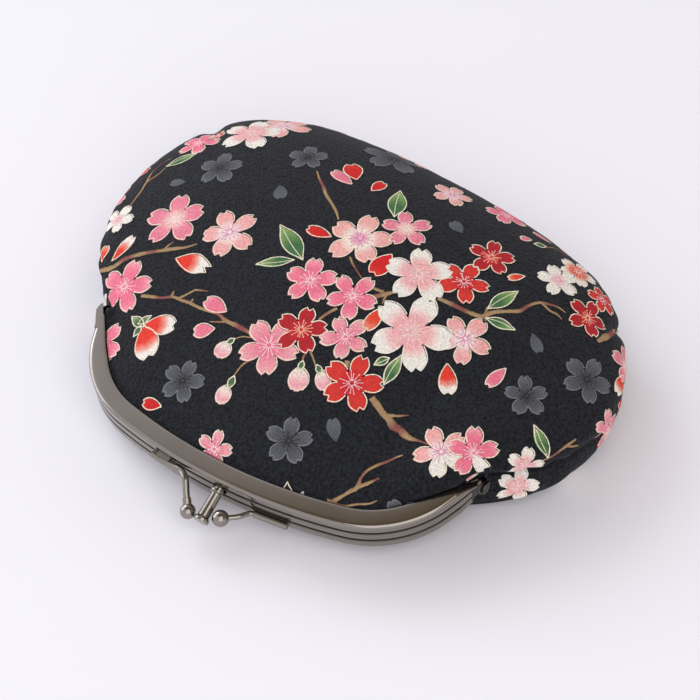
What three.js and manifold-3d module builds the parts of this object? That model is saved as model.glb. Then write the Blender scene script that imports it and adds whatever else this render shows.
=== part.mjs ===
// Double-compartment kiss lock coin purse, lying on its back panel.
// Millimetres, +Z up, +X to the right along the hinge line, -Y towards the clasp.
import * as THREE from 'three';
import { mergeVertices } from 'three/addons/utils/BufferGeometryUtils.js';
import Module from 'manifold-3d';

const wasm = await Module();
wasm.setup();

// Steel frame: three jaws that lie on each other and swing on a rivet at either end
const frameWidth = 120;
const frameDepth = 33.2;
const archRadius = 156;
const cornerRadius = 30;
const sideLean = THREE.MathUtils.degToRad(21.5);
const sheet = 0.5;
const jawHeight = 3.1;
const jawGap = 0.3;
const lipWidth = 5.3;
const lipTip = 0.3;
const lipTaper = 24;
const cornerBevel = 0.45;
const clearance = 0.3;

// How the closed frame lies: its hinge line over the table and its slope down to the clasp
const hingeRise = 14;
const frameTilt = THREE.MathUtils.degToRad(6.5);

// Ears and rivets at the ends of the hinge line
const earSheet = 0.6;
const earRadius = 2.2;
const earStart = 4.2;
const earBend = 3.0;
const rivetRadius = 0.9;
const rivetHeadRadius = 1.8;
const rivetHeadHeight = 0.8;

// Kiss lock: a post on the middle jaw between two balls on wire arms
const postLength = 9.6;
const postRootRadius = 1.55;
const postCapRadius = 2.15;
const postDroop = THREE.MathUtils.degToRad(12.5);
const postRim = 0.35;
const postBase = 0.8;
const wireRadius = 0.9;
const thinWireRadius = 0.72;
const ballRadius = 2.1;
const rightBallRadius = 2.27;
const leftBallShare = 0.9;
const rightBallShare = 0.68;
const leftArmStart = 21;
const leftArmEnd = 13.5;
const saddleLength = 4;
const saddleHeight = 1;
const collarRadius = 1.15;
const collarLength = 2.3;
const sheathRadius = 1.05;
const sheathLength = 9.6;
const sheathStart = 10.6;

// Cloth
const cloth = 1.4;
const dividerCloth = 1;
const dividerSetback = 15;
const dividerReach = 0.93;
const dividerTaper = 0.9;
const tuck = 0.5;
const bodyHalfWidth = 79.4;
const bodyCentre = 35;
const seamHeight = 15.5;
const crown = 21;
const belly = 22;
const edgeRoll = 1.7;
const tableRoll = 2;
const swellRise = 0.8;
const swellFall = 0.9;
const frontSpread = 0.9;
const backSpread = 0.5;
const overhang = 5;
const mouthSweep = 0.4;
const hingeDetour = 1;
const hingeHood = 4;
const standWalls = 1.2;

// How far from a hinge, as shares of the side seam, the cloth's hood over the hinge, its detour, its
// overhang and its rise die away
const hoodFade = 0.025;
const detourFade = 0.04;
const overhangFade = 0.05;
const riseFade = 0.06;

// The side seam seen from above, by angle from the right, about a point bodyCentre behind the
// hinge line. reach is a share of bodyHalfWidth; skew is what the bag, as it lies, leans to the
// left: it is taken from the left side's reach and added to the right side's.
const seamTable = [
  { at: -28, reach: 0.846, skew: 0 },
  { at: -14, reach: 0.945, skew: 0.010 },
  { at: 0, reach: 1.000, skew: -0.002 },
  { at: 18, reach: 1.000, skew: -0.042 },
  { at: 34, reach: 0.951, skew: -0.067 },
  { at: 46, reach: 0.859, skew: -0.068 },
  { at: 66, reach: 0.728, skew: -0.033 },
  { at: 90, reach: 0.674, skew: 0 },
];

// Folds, one on either side: left, right and width are shares of the side seam from its hinge ends,
// from is the share of the way from mouth to seam where the fold starts, depth is in cloth walls.
const foldTable = [
  { name: 'first gather', left: 0.030, right: 0.030, width: 0.007, from: 0.15, depth: 0.6 },
  { name: 'second gather', left: 0.055, right: 0.055, width: 0.008, from: 0.25, depth: 0.5 },
  { name: 'third gather', left: 0.085, right: 0.085, width: 0.009, from: 0.35, depth: 0.35 },
  { name: 'corner dart', left: 0.260, right: 0.228, width: 0.010, from: 0.55, depth: 1.3 },
];

const jawPitch = jawHeight + jawGap;
const jawLevel = { front: jawPitch, middle: 0, back: -jawPitch };

// Looks of the two materials
const gunmetal = () => new THREE.MeshStandardMaterial({ color: 0x77726b, roughness: 0.18, metalness: 1 });
const crepe = () => new THREE.MeshStandardMaterial({ color: 0x26272d, roughness: 0.9, metalness: 0 });

// A closed geometry as a solid that can be joined and cut, and back again
function solid(geometry) {
  const bare = new THREE.BufferGeometry();
  bare.setAttribute('position', geometry.getAttribute('position'));
  if (geometry.index) bare.setIndex(geometry.index);
  const merged = mergeVertices(bare, 1e-4);
  return new wasm.Manifold(new wasm.Mesh({
    numProp: 3,
    vertProperties: new Float32Array(merged.getAttribute('position').array),
    triVerts: new Uint32Array(merged.index.array),
  }));
}

function geometryOf(manifold) {
  const mesh = manifold.getMesh();
  const geometry = new THREE.BufferGeometry();
  geometry.setAttribute('position', new THREE.BufferAttribute(new Float32Array(mesh.vertProperties), 3));
  geometry.setIndex(new THREE.BufferAttribute(new Uint32Array(mesh.triVerts), 1));
  geometry.computeVertexNormals();
  return geometry;
}

function join(geometries) {
  return geometries.map(solid).reduce((whole, piece) => whole.add(piece));
}

// A closed skin over a list of rings with equally many points, capped at its two ends
function loft(rings) {
  const count = rings[0].length;
  const position = rings.flat().flatMap((p) => [p.x, p.y, p.z]);
  const index = [];
  for (let k = 0; k + 1 < rings.length; k += 1) {
    for (let i = 0; i < count; i += 1) {
      const a = k * count + i;
      const b = k * count + (i + 1) % count;
      index.push(a, b, b + count, a, b + count, a + count);
    }
  }
  const caps = [[0, true], [rings.length - 1, false]];
  for (const [k, flip] of caps) {
    for (const [a, b, c] of capTriangles(rings[k])) {
      const face = flip ? [a, c, b] : [a, b, c];
      index.push(...face.map((i) => i + k * count));
    }
  }
  const geometry = new THREE.BufferGeometry();
  geometry.setAttribute('position', new THREE.Float32BufferAttribute(position, 3));
  geometry.setIndex(index);
  return geometry;
}

// Triangles over a flat ring, found in the plane that the ring lies in
function capTriangles(ring) {
  const normal = new THREE.Vector3();
  ring.forEach((p, i) => normal.add(new THREE.Vector3().crossVectors(p, ring[(i + 1) % ring.length])));
  const turn = new THREE.Quaternion().setFromUnitVectors(normal.normalize(), new THREE.Vector3(0, 0, 1));
  const flat = ring.map((p) => p.clone().applyQuaternion(turn));
  return THREE.ShapeUtils.triangulateShape(flat.map((p) => new THREE.Vector2(p.x, p.y)), []);
}

// The frame's outer edge from the middle of the clasp to the right hinge: an arch, a corner and a
// leaning side. Each point has its inward direction; at() gives a point by distance along the edge.
const frameEdge = (() => {
  const down = new THREE.Vector2(-Math.sin(sideLean), -Math.cos(sideLean));
  const inward = new THREE.Vector2(-Math.cos(sideLean), Math.sin(sideLean));
  const hinge = new THREE.Vector2(frameWidth / 2, 0);
  const archCentre = new THREE.Vector2(0, archRadius - frameDepth);
  const start = hinge.clone().addScaledVector(inward, cornerRadius).sub(archCentre);
  const along = start.dot(down);
  const sideLength = -along - Math.sqrt(along ** 2 - start.lengthSq() + (archRadius - cornerRadius) ** 2);
  const side = sideLength > 0 ? sideLength
    : -along + Math.sqrt(along ** 2 - start.lengthSq() + (archRadius - cornerRadius) ** 2);
  const cornerCentre = hinge.clone().addScaledVector(inward, cornerRadius).addScaledVector(down, side);
  const tangent = cornerCentre.clone().sub(archCentre).angle() - 1.5 * Math.PI;
  const turn = Math.PI / 2 - sideLean - tangent;
  const archLength = archRadius * tangent;
  const cornerLength = cornerRadius * turn;
  const length = archLength + cornerLength + side;
  function at(distance) {
    const s = Math.abs(distance);
    const angle = s < archLength ? s / archRadius
      : Math.min(tangent + (s - archLength) / cornerRadius, tangent + turn);
    const out = new THREE.Vector2(Math.sin(angle), -Math.cos(angle));
    const centre = s < archLength ? archCentre : cornerCentre;
    const point = centre.clone().addScaledVector(out, s < archLength ? archRadius : cornerRadius);
    point.addScaledVector(down, -Math.max(s - archLength - cornerLength, 0));
    const mirror = Math.sign(distance) || 1;
    return { x: mirror * point.x, y: point.y, inX: -mirror * out.x, inY: -out.y };
  }
  return { length, at, arch: archLength, corner: cornerLength };
})();

// From the frame's own plane to the part: across the slope, then lifted to the hinge line
function fromFrame(x, y, z) {
  return new THREE.Vector3(x, y, z)
    .applyAxisAngle(new THREE.Vector3(1, 0, 0), frameTilt)
    .add(new THREE.Vector3(0, 0, hingeRise));
}

function lipAt(distance) {
  const left = Math.min((frameEdge.length - Math.abs(distance)) / lipTaper, 1);
  return lipTip + (lipWidth - lipTip) * Math.sin(left * Math.PI / 2);
}

// Stations along a jaw, closer where the edge turns
function jawStations() {
  const end = frameEdge.length - earStart;
  const marks = [];
  for (let i = 0; i <= 8; i += 1) marks.push(frameEdge.arch * i / 8);
  for (let i = 1; i <= 7; i += 1) marks.push(frameEdge.arch + frameEdge.corner * i / 7);
  const last = frameEdge.arch + frameEdge.corner;
  for (let i = 1; i <= 4; i += 1) marks.push(last + (end - last) * i / 4);
  return [...marks.slice(1).reverse().map((s) => -s), ...marks];
}

// A jaw is a folded channel open towards the bag: a web with a lip on its upper and lower side
function channel(level) {
  const high = level + jawHeight / 2;
  const low = level - jawHeight / 2;
  const rings = jawStations().map((s) => {
    const edge = frameEdge.at(s);
    const lip = lipAt(s);
    const section = [
      [cornerBevel, high], [0, high - cornerBevel], [0, low + cornerBevel], [cornerBevel, low],
      [lip, low], [lip, low + sheet], [sheet, low + sheet],
      [sheet, high - sheet], [lip, high - sheet], [lip, high],
    ];
    return section.map(([inset, z]) => new THREE.Vector3(
      edge.x + edge.inX * inset, edge.y + edge.inY * inset, z,
    ));
  });
  return loft(rings);
}

// An ear carries the web's end out to its own plane across the hinge line, and to the rivet's eye
function ear(side, level, outer) {
  const end = frameEdge.at(frameEdge.length - earStart);
  const high = level + jawHeight / 2;
  const low = level - jawHeight / 2;
  const ring = (x0, y0, x1, y1) => {
    const points = [[x0, y0, low], [x1, y1, low], [x1, y1, high], [x0, y0, high]];
    const placed = points.map(([x, y, z]) => new THREE.Vector3(side * x, y, z));
    return side > 0 ? placed.reverse() : placed;
  };
  const back = 0.3;
  const bend = loft([
    ring(end.x + end.inX * sheet, end.y + end.inY * sheet - back, end.x, end.y - back),
    ring(outer - earSheet, -earBend, outer, -earBend),
  ]);
  const reach = Math.sign(level) * Math.PI / 6;
  const tilt = level === 0 ? Math.PI / 4 : Math.PI / 3;
  const plate = new THREE.Shape();
  plate.moveTo(-earBend - 0.1, low);
  plate.absarc(0, 0, earRadius, Math.PI + tilt - reach, Math.PI - tilt - reach + 2 * Math.PI, false);
  plate.lineTo(-earBend - 0.1, high);
  plate.closePath();
  const disc = new THREE.ExtrudeGeometry(plate, { depth: earSheet, bevelEnabled: false, curveSegments: 12 });
  const basis = new THREE.Matrix4().makeBasis(
    new THREE.Vector3(0, 1, 0), new THREE.Vector3(0, 0, 1), new THREE.Vector3(1, 0, 0),
  );
  disc.applyMatrix4(basis);
  disc.translate(side > 0 ? outer - earSheet : -outer, 0, 0);
  return solid(bend).add(solid(disc)).subtract(solid(rod(rivetRadius + clearance, frameWidth * 1.2, 12)));
}

// A plain rod about the hinge line
function rod(radius, length, sides) {
  return new THREE.CylinderGeometry(radius, radius, length, sides).rotateZ(Math.PI / 2);
}

function tube(points, radius, sides, steps) {
  const path = new THREE.CatmullRomCurve3(points);
  const ring = new THREE.Shape();
  ring.absarc(0, 0, radius, 0, 2 * Math.PI, false);
  const section = new THREE.Shape(ring.getSpacedPoints(sides).slice(0, sides));
  return new THREE.ExtrudeGeometry(section, { steps, extrudePath: path, bevelEnabled: false });
}

// A turned piece standing on point, its axis along direction
function turned(profile, sides, point, direction) {
  const lathe = new THREE.LatheGeometry(profile.map(([r, y]) => new THREE.Vector2(r, y)), sides);
  lathe.applyQuaternion(new THREE.Quaternion().setFromUnitVectors(new THREE.Vector3(0, 1, 0), direction));
  return lathe.translate(point.x, point.y, point.z);
}

function ball(centre, radius) {
  return new THREE.SphereGeometry(radius, 12, 8).translate(centre.x, centre.y, centre.z);
}

// The post: a neck, a cone that widens to its flat cap. It droops a little below the frame's plane.
const postRoot = new THREE.Vector3(0, -frameDepth, 0);
const postWay = new THREE.Vector3(0, -Math.cos(postDroop), -Math.sin(postDroop));

function post() {
  const baseRadius = postRootRadius * 1.25;
  const capStart = postLength - postRim * 2.5;
  return turned([
    [0, -sheet * 0.8], [postRootRadius, -sheet * 0.8], [postRootRadius, sheet],
    [baseRadius, sheet + 0.2], [baseRadius, sheet + postBase], [postRootRadius, sheet + postBase + 0.3],
    [postCapRadius - postRim, capStart - 0.3], [postCapRadius, capStart],
    [postCapRadius, postLength - postRim], [postCapRadius - postRim, postLength], [0, postLength],
  ], 14, postRoot, postWay);
}

// The ball of an arm lies beside the post: side -1 left or 1 right, share of the post's length
function ballCentre(side, share) {
  const radius = postRootRadius + (postCapRadius - postRootRadius) * share;
  return postRoot.clone().addScaledVector(postWay, postLength * share)
    .add(new THREE.Vector3(side * (radius + ballRadius + clearance), 0, 0));
}

// Left arm, soldered to the front jaw: a wire along the stack that turns out to a collar and ball
function leftArm() {
  const centre = ballCentre(-1, leftBallShare);
  const proud = wireRadius + clearance;
  const hug = (s, z) => {
    const edge = frameEdge.at(s);
    return new THREE.Vector3(edge.x - edge.inX * proud, edge.y - edge.inY * proud, z);
  };
  const rootLevel = jawLevel.front - jawHeight / 2 - 0.4;
  const middle = -(leftArmStart + leftArmEnd) / 2;
  const bend = new THREE.Vector3(4.6 - leftArmEnd, -frameDepth - proud - wireRadius, rootLevel + 0.5);
  const wire = tube([
    hug(-leftArmStart, rootLevel), hug(middle, rootLevel), hug(-leftArmEnd, rootLevel + 0.3),
    hug(2.6 - leftArmEnd, rootLevel + 0.6), bend,
    bend.clone().lerp(centre, 0.4), bend.clone().lerp(centre, 0.7), centre.clone(),
  ], wireRadius, 8, 22);
  const way = centre.clone().sub(bend).normalize();
  const collar = turned([
    [0, 0], [collarRadius, 0], [collarRadius, collarLength], [0, collarLength],
  ], 10, centre.clone().addScaledVector(way, -ballRadius - collarLength * 0.6), way);
  const foot = hug(middle, jawLevel.front - (jawHeight - saddleHeight) / 2);
  const footDepth = proud + sheet / 2;
  const saddle = new THREE.BoxGeometry(saddleLength, footDepth, saddleHeight)
    .translate(0, footDepth / 2, 0)
    .rotateZ(middle / archRadius)
    .translate(foot.x, foot.y, foot.z);
  return [wire, collar, saddle, ball(centre, ballRadius)];
}

// Right arm, soldered to the back jaw: a straight sheath along the web, a thinner wire and a ball
function rightArm() {
  const centre = ballCentre(1, rightBallShare);
  const level = jawLevel.back + 0.3;
  const proud = sheathRadius - 0.35;
  const hug = (s) => {
    const edge = frameEdge.at(s);
    return new THREE.Vector3(edge.x - edge.inX * proud, edge.y - edge.inY * proud, level);
  };
  const near = hug(sheathStart);
  const far = hug(sheathStart + sheathLength);
  const sheath = tube([near, near.clone().lerp(far, 0.5), far], sheathRadius, 8, 3);
  const way = near.clone().sub(far).normalize();
  const wire = tube([
    near.clone().addScaledVector(way, -0.6),
    near.clone().addScaledVector(way, 0.8).add(new THREE.Vector3(0, -0.3, 0.1)),
    new THREE.Vector3((near.x + centre.x) / 2 + 0.4, (near.y + centre.y) / 2 - 0.2, level + 1.1),
    centre.clone(),
  ], thinWireRadius, 8, 12);
  return [sheath, wire, ball(centre, rightBallRadius)];
}

// A jaw with its two ears and what is soldered to it. place counts the ear's plane from outside.
function jaw(level, place, soldered) {
  const outer = frameWidth / 2 - place * (earSheet + jawGap);
  let whole = solid(channel(level));
  for (const side of [-1, 1]) whole = whole.add(ear(side, level, outer));
  for (const piece of soldered) whole = whole.add(solid(piece));
  return layInFrame(geometryOf(whole));
}

function layInFrame(geometry) {
  return geometry.rotateX(frameTilt).translate(0, 0, hingeRise);
}

// A rivet through the three ears, with a low domed head outside and a flat one inside
function rivet(side) {
  const ears = 3 * earSheet + 2 * jawGap;
  const inside = frameWidth / 2 - ears - clearance;
  const outside = frameWidth / 2 + clearance;
  const profile = [
    [0, inside - rivetHeadHeight], [rivetHeadRadius, inside - rivetHeadHeight], [rivetHeadRadius, inside],
    [rivetRadius, inside], [rivetRadius, outside], [rivetHeadRadius, outside],
    [rivetHeadRadius, outside + rivetHeadHeight * 0.4],
    [rivetHeadRadius * 0.7, outside + rivetHeadHeight * 0.85], [0, outside + rivetHeadHeight],
  ];
  return layInFrame(turned(profile, 12, new THREE.Vector3(), new THREE.Vector3(side, 0, 0)));
}

// A smooth curve through a table: cubic, with each slope taken from the two neighbours
function smoothThrough(xs, ys) {
  const slope = xs.map((_, i) => {
    const a = Math.max(i - 1, 0);
    const b = Math.min(i + 1, xs.length - 1);
    return (ys[b] - ys[a]) / (xs[b] - xs[a]);
  });
  return (x) => {
    let i = xs.findIndex((value) => value > x) - 1;
    if (i < 0) i = xs.length - 2;
    const h = xs[i + 1] - xs[i];
    const t = (x - xs[i]) / h;
    return (2 * t ** 3 - 3 * t ** 2 + 1) * ys[i] + (t ** 3 - 2 * t ** 2 + t) * h * slope[i]
      + (3 * t ** 2 - 2 * t ** 3) * ys[i + 1] + (t ** 3 - t ** 2) * h * slope[i + 1];
  };
}

// The side seam from above as a function of its share, 0 at the left hinge and 1 at the right
const seamAt = (() => {
  const right = seamTable.map((row) => [row.at, row.reach + row.skew]);
  const left = seamTable.slice(0, -1).reverse().map((row) => [180 - row.at, row.reach - row.skew]);
  const rows = [...right, ...left];
  const reach = smoothThrough(rows.map((row) => row[0]), rows.map((row) => row[1]));
  const first = seamTable[0].at;
  const steps = 400;
  const points = [];
  const lengths = [0];
  for (let i = 0; i <= steps; i += 1) {
    const degrees = 180 - first + (2 * first - 180) * i / steps;
    const angle = THREE.MathUtils.degToRad(degrees);
    const r = bodyHalfWidth * reach(degrees);
    points.push(new THREE.Vector2(r * Math.cos(angle), bodyCentre + r * Math.sin(angle)));
    if (i > 0) lengths.push(lengths[i - 1] + points[i].distanceTo(points[i - 1]));
  }
  return (u) => {
    const target = u * lengths[steps];
    let i = lengths.findIndex((length) => length > target) - 1;
    if (i < 0) i = steps - 1;
    return points[i].clone().lerp(points[i + 1], (target - lengths[i]) / (lengths[i + 1] - lengths[i]));
  };
})();

// Columns across the bag: even steps, closer at the hinges and on every fold
function columns() {
  const even = 30;
  const list = [];
  for (let i = 0; i <= even; i += 1) list.push(i / even);
  list.push(0.016, 1 - 0.016);
  for (const fold of foldTable) {
    for (const step of [-1, 0, 1]) {
      const beside = step * fold.width * 1.2;
      list.push(fold.left + beside, 1 - fold.right - beside);
    }
  }
  list.sort((a, b) => a - b);
  return list.filter((u, i) => i === 0 || u - list[i - 1] > 0.004);
}

// Where the cloth leaves a jaw's channel, and its mouth edge inside the channel
function mouthAt(u, level, inset) {
  const s = (2 * u - 1) * (frameEdge.length - earStart - clearance);
  const edge = frameEdge.at(s);
  return fromFrame(edge.x + edge.inX * inset, edge.y + edge.inY * inset, level);
}

// The way of the cloth seen from above: off the lip at a right angle, then round to the side seam,
// so that it passes behind the hinge. q is the share of the way.
function wayAt(u, start, end, q) {
  const edge = frameEdge.at((2 * u - 1) * (frameEdge.length - earStart));
  const sweep = mouthSweep * Math.hypot(end.x - start.x, end.y - start.y);
  const detour = hingeDetour * Math.exp(-Math.min(u, 1 - u) / detourFade);
  const bendX = start.x + edge.inX * sweep;
  const bendY = start.y + edge.inY * sweep + detour;
  const [a, b, c] = [(1 - q) ** 2, 2 * q * (1 - q), q * q];
  return [a * start.x + b * bendX + c * end.x, a * start.y + b * bendY + c * end.y];
}

function lipInset(u) {
  return lipAt((2 * u - 1) * (frameEdge.length - earStart)) + tuck;
}

function foldDepth(u, v) {
  const near = Math.min(u, 1 - u);
  return foldTable.reduce((sum, fold) => {
    const at = u < 0.5 ? fold.left : fold.right;
    const across = Math.exp(-(((near - at) / fold.width) ** 2));
    const along = THREE.MathUtils.smoothstep(v, fold.from, 1);
    return sum + cloth * fold.depth * across * along;
  }, 0);
}

// Powers of v and 1 - v, as a share of their greatest product
function hump(v, rise, fall) {
  const peak = rise / (rise + fall);
  return (v / peak) ** rise * ((1 - v) / (1 - peak)) ** fall;
}

// The outside of a panel: u runs across the bag, v from the channel's mouth to the side seam.
// It swells away from the seam plane, hangs over near the hinges and lies flat on the table.
function panelPoint(face, u, v) {
  const near = Math.min(u, 1 - u);
  const side = u < 0.5 ? -1 : 1;
  const start = mouthAt(u, face * (jawPitch + cloth / 2), lipInset(u));
  const seam = seamAt(u);
  const rise = (hingeRise - seamHeight) * Math.exp(-near / riseFade);
  const seamZ = seamHeight + rise + face * clearance / 2;
  const q = 1 - (1 - v) ** edgeRoll;
  const across = Math.sin(Math.PI * u) ** (face > 0 ? frontSpread : backSpread);
  const fade = near / overhangFade;
  const hood = face > 0 ? hingeHood * Math.exp(-near / hoodFade) * hump(v, 1, 1) : 0;
  const over = overhang * fade * Math.exp(1 - fade) * hump(v, 2, 1) + hood;
  const stand = standWalls * cloth * THREE.MathUtils.smoothstep(v, 0.1, 0.5) * (1 - v ** 12);
  const [x, y] = wayAt(u, start, seam, q);
  const height = (face > 0 ? crown : belly) * across * hump(v, swellRise, swellFall) + stand + hood;
  return new THREE.Vector3(x + side * over, y, start.z + (seamZ - start.z) * q + face * height);
}

function onTable(z) {
  if (z <= -tableRoll) return 0;
  return z >= tableRoll ? z : (z + tableRoll) ** 2 / (4 * tableRoll);
}

// The finished outside of a panel, with its folds pressed in and its belly flat on the table
function outside(face, u, v) {
  const point = panelPoint(face, u, v);
  const normal = skinNormal(panelPoint, face, u, v);
  if (v === 1) normal.setZ(0).normalize();
  point.addScaledVector(normal, -foldDepth(u, v));
  if (face < 0) point.z = onTable(point.z);
  return point;
}

// The outward direction of a panel, from two short steps over it
function skinNormal(skin, face, u, v) {
  const step = 1e-3;
  const [u0, u1] = [Math.max(u - step, 0), Math.min(u + step, 1)];
  const [v0, v1] = [Math.max(v - step, 0), Math.min(v + step, 1 - 1e-6)];
  const across = skin(face, u1, v).sub(skin(face, u0, v));
  const along = skin(face, u, v1).sub(skin(face, u, v0));
  return across.cross(along).multiplyScalar(face).normalize();
}

// Rows over a panel: the edge inside the channel, the channel's mouth, then steps to the seam
const rows = [0, 0.05, 0.12, 0.22, 0.34, 0.48, 0.62, 0.75, 0.87, 0.95, 1];

function panelWalls(face) {
  const up = fromFrame(0, 0, face).sub(fromFrame(0, 0, 0));
  const outer = [];
  const inner = [];
  for (const u of columns()) {
    const edge = mouthAt(u, face * (jawPitch + cloth / 2), sheet + clearance);
    const outerColumn = [edge];
    const innerColumn = [edge.clone().addScaledVector(up, -cloth)];
    for (const v of rows) {
      const point = outside(face, u, v);
      const normal = v === 0 ? up.clone() : skinNormal(outside, face, u, v);
      if (v === 1) normal.setZ(0).normalize();
      outerColumn.push(point);
      innerColumn.push(point.clone().addScaledVector(normal, -cloth));
    }
    outer.push(outerColumn);
    inner.push(innerColumn);
  }
  return { outer, inner };
}

// One closed skin round an outer and an inner grid of points
function wall({ outer, inner }, flip) {
  const across = outer.length;
  const along = outer[0].length;
  const position = [...outer.flat(), ...inner.flat()].flatMap((p) => [p.x, p.y, p.z]);
  const index = [];
  const face = (a, b, c, d) => {
    const corners = flip ? [a, d, c, b] : [a, b, c, d];
    index.push(corners[0], corners[1], corners[2], corners[0], corners[2], corners[3]);
  };
  const front = (i, j) => i * along + j;
  const back = (i, j) => across * along + i * along + j;
  for (let i = 0; i + 1 < across; i += 1) {
    for (let j = 0; j + 1 < along; j += 1) {
      face(front(i, j), front(i + 1, j), front(i + 1, j + 1), front(i, j + 1));
      face(back(i, j), back(i, j + 1), back(i + 1, j + 1), back(i + 1, j));
    }
    face(front(i, 0), back(i, 0), back(i + 1, 0), front(i + 1, 0));
    face(front(i, along - 1), front(i + 1, along - 1), back(i + 1, along - 1), back(i, along - 1));
  }
  for (let j = 0; j + 1 < along; j += 1) {
    face(front(0, j), front(0, j + 1), back(0, j + 1), back(0, j));
    face(front(across - 1, j), back(across - 1, j), back(across - 1, j + 1), front(across - 1, j + 1));
  }
  const geometry = new THREE.BufferGeometry();
  geometry.setAttribute('position', new THREE.Float32BufferAttribute(position, 3));
  geometry.setIndex(index);
  return geometryOf(solid(geometry));
}

// The plain divider hangs from the middle jaw and ends short of the side seam
function divider() {
  const steps = 28;
  const first = dividerSetback / (2 * frameEdge.length);
  const outer = [];
  const inner = [];
  for (let i = 0; i <= steps; i += 1) {
    const u = first + (1 - 2 * first) * i / steps;
    const near = Math.min(u, 1 - u);
    const start = mouthAt(u, 0, lipInset(u));
    const seam = seamAt(u);
    const reach = dividerReach * (1 - dividerTaper * Math.exp(-near / riseFade));
    const points = [mouthAt(u, 0, sheet + clearance), start];
    for (const share of [0.25, 0.5, 0.75, 1]) {
      const q = share * reach;
      const [x, y] = wayAt(u, start, seam, q);
      points.push(new THREE.Vector3(x, y, start.z + (seamHeight - start.z) * q));
    }
    outer.push(points.map((p) => p.clone().add(new THREE.Vector3(0, 0, dividerCloth / 2))));
    inner.push(points.map((p) => p.clone().add(new THREE.Vector3(0, 0, -dividerCloth / 2))));
  }
  return wall({ outer, inner }, false);
}

function piece(name, geometry, material) {
  const mesh = new THREE.Mesh(geometry, material);
  mesh.name = name;
  return mesh;
}

const purse = new THREE.Group();
purse.add(
  piece('front_jaw', jaw(jawLevel.front, 0, leftArm()), gunmetal()),
  piece('middle_jaw', jaw(jawLevel.middle, 1, [post()]), gunmetal()),
  piece('back_jaw', jaw(jawLevel.back, 2, rightArm()), gunmetal()),
  piece('left_rivet', rivet(-1), gunmetal()),
  piece('right_rivet', rivet(1), gunmetal()),
  piece('front_panel', wall(panelWalls(1), false), crepe()),
  piece('back_panel', wall(panelWalls(-1), true), crepe()),
  piece('divider', divider(), crepe()),
);

// The origin is under the middle of the purse, on the surface that it lies on
const box = new THREE.Box3().setFromObject(purse);
const middle = box.getCenter(new THREE.Vector3());
purse.position.set(-middle.x, -middle.y, -box.min.z);

export default purse;
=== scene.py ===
from collections import namedtuple

import bpy
import numpy as np
from mathutils import Matrix, Vector


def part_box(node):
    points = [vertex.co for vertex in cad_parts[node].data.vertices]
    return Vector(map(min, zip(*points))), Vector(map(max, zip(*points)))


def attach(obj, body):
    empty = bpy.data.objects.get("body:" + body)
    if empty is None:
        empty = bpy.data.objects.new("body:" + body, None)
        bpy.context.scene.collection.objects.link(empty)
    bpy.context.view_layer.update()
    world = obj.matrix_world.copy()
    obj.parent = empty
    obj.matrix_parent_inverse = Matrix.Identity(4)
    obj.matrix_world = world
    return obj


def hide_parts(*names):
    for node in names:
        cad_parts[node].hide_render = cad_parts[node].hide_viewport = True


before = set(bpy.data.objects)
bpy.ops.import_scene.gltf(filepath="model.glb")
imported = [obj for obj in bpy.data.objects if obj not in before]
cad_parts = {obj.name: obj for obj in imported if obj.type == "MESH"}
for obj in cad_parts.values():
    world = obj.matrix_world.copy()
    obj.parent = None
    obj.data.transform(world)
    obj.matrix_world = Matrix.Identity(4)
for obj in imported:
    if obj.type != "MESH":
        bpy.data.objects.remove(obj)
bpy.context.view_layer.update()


# The purse's place. All lengths below are millimetres from the middle of the hinge line, the axis
# of the two rivets: +X along it to the right, -Y towards the clasp, +Z up from the table.
rivet_boxes = [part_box("left_rivet"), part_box("right_rivet")]
hinge_middle = 1000 * np.mean([np.array(corner) for box in rivet_boxes for corner in box], axis=0)


def in_metres(points):
    """Points in the frame's metres: millimetres from the hinge middle, moved to it, over 1000."""
    return (np.asarray(points) + hinge_middle) / 1000


# The photograph's camera: above the purse and to the right of its clasp, a little tilted.
camera_from_hinge = np.array([166.6, -237.0, 350.8])
camera_turn = np.radians(31.69)
camera_height = np.radians(49)
camera_tilt = np.radians(-1.07)
sensor_width = 36
photo_width = 700
focal_pixels = 1695

camera_data = bpy.data.cameras.new("camera")
camera_data.sensor_width = sensor_width
camera_data.lens = focal_pixels * sensor_width / photo_width
camera_data.clip_start = 0.01
camera = bpy.data.objects.new("camera", camera_data)
bpy.context.scene.collection.objects.link(camera)
camera.rotation_mode = "QUATERNION"
camera_frame = (
    Matrix.Rotation(camera_turn, 3, "Z")
    @ Matrix.Rotation(np.pi / 2 - camera_height, 3, "X")
    @ Matrix.Rotation(camera_tilt, 3, "Z")
)
camera.rotation_quaternion = camera_frame.to_quaternion()
camera.location = Vector(in_metres(camera_from_hinge))
bpy.context.scene.camera = camera


# The frame: three jaws of folded steel sheet, plated a dark gunmetal and polished, that lie on each
# other and swing on the rivets. Each is a channel, open towards the bag, with a lip on either side.
frame_width = 120
frame_depth = 33.2
arch_radius = 156
corner_radius = 30
side_lean = np.radians(21.5)
sheet = 0.5
jaw_height = 3.1
jaw_gap = 0.3
lip_width = 5.3
lip_tip = 0.3
lip_taper = 24
lip_crown = 0.04
fold_radius = 0.58
front_fold_radius = 0.9
clearance = 0.3
frame_tilt = np.radians(6.5)
ear_sheet = 0.6
ear_radius = 2.2
ear_start = 4.2
ear_bend = 3.0
jaw_pitch = jaw_height + jaw_gap
# painted shade over the hinges' ears and rivets: how far their plating is darkened and dulled
hinge_painted_shade = 0.75
# towards a hinge the lower jaws close up on the top of the front one, to this share over this length
hinge_pinch = 0.86
pinch_length = 8

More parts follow.
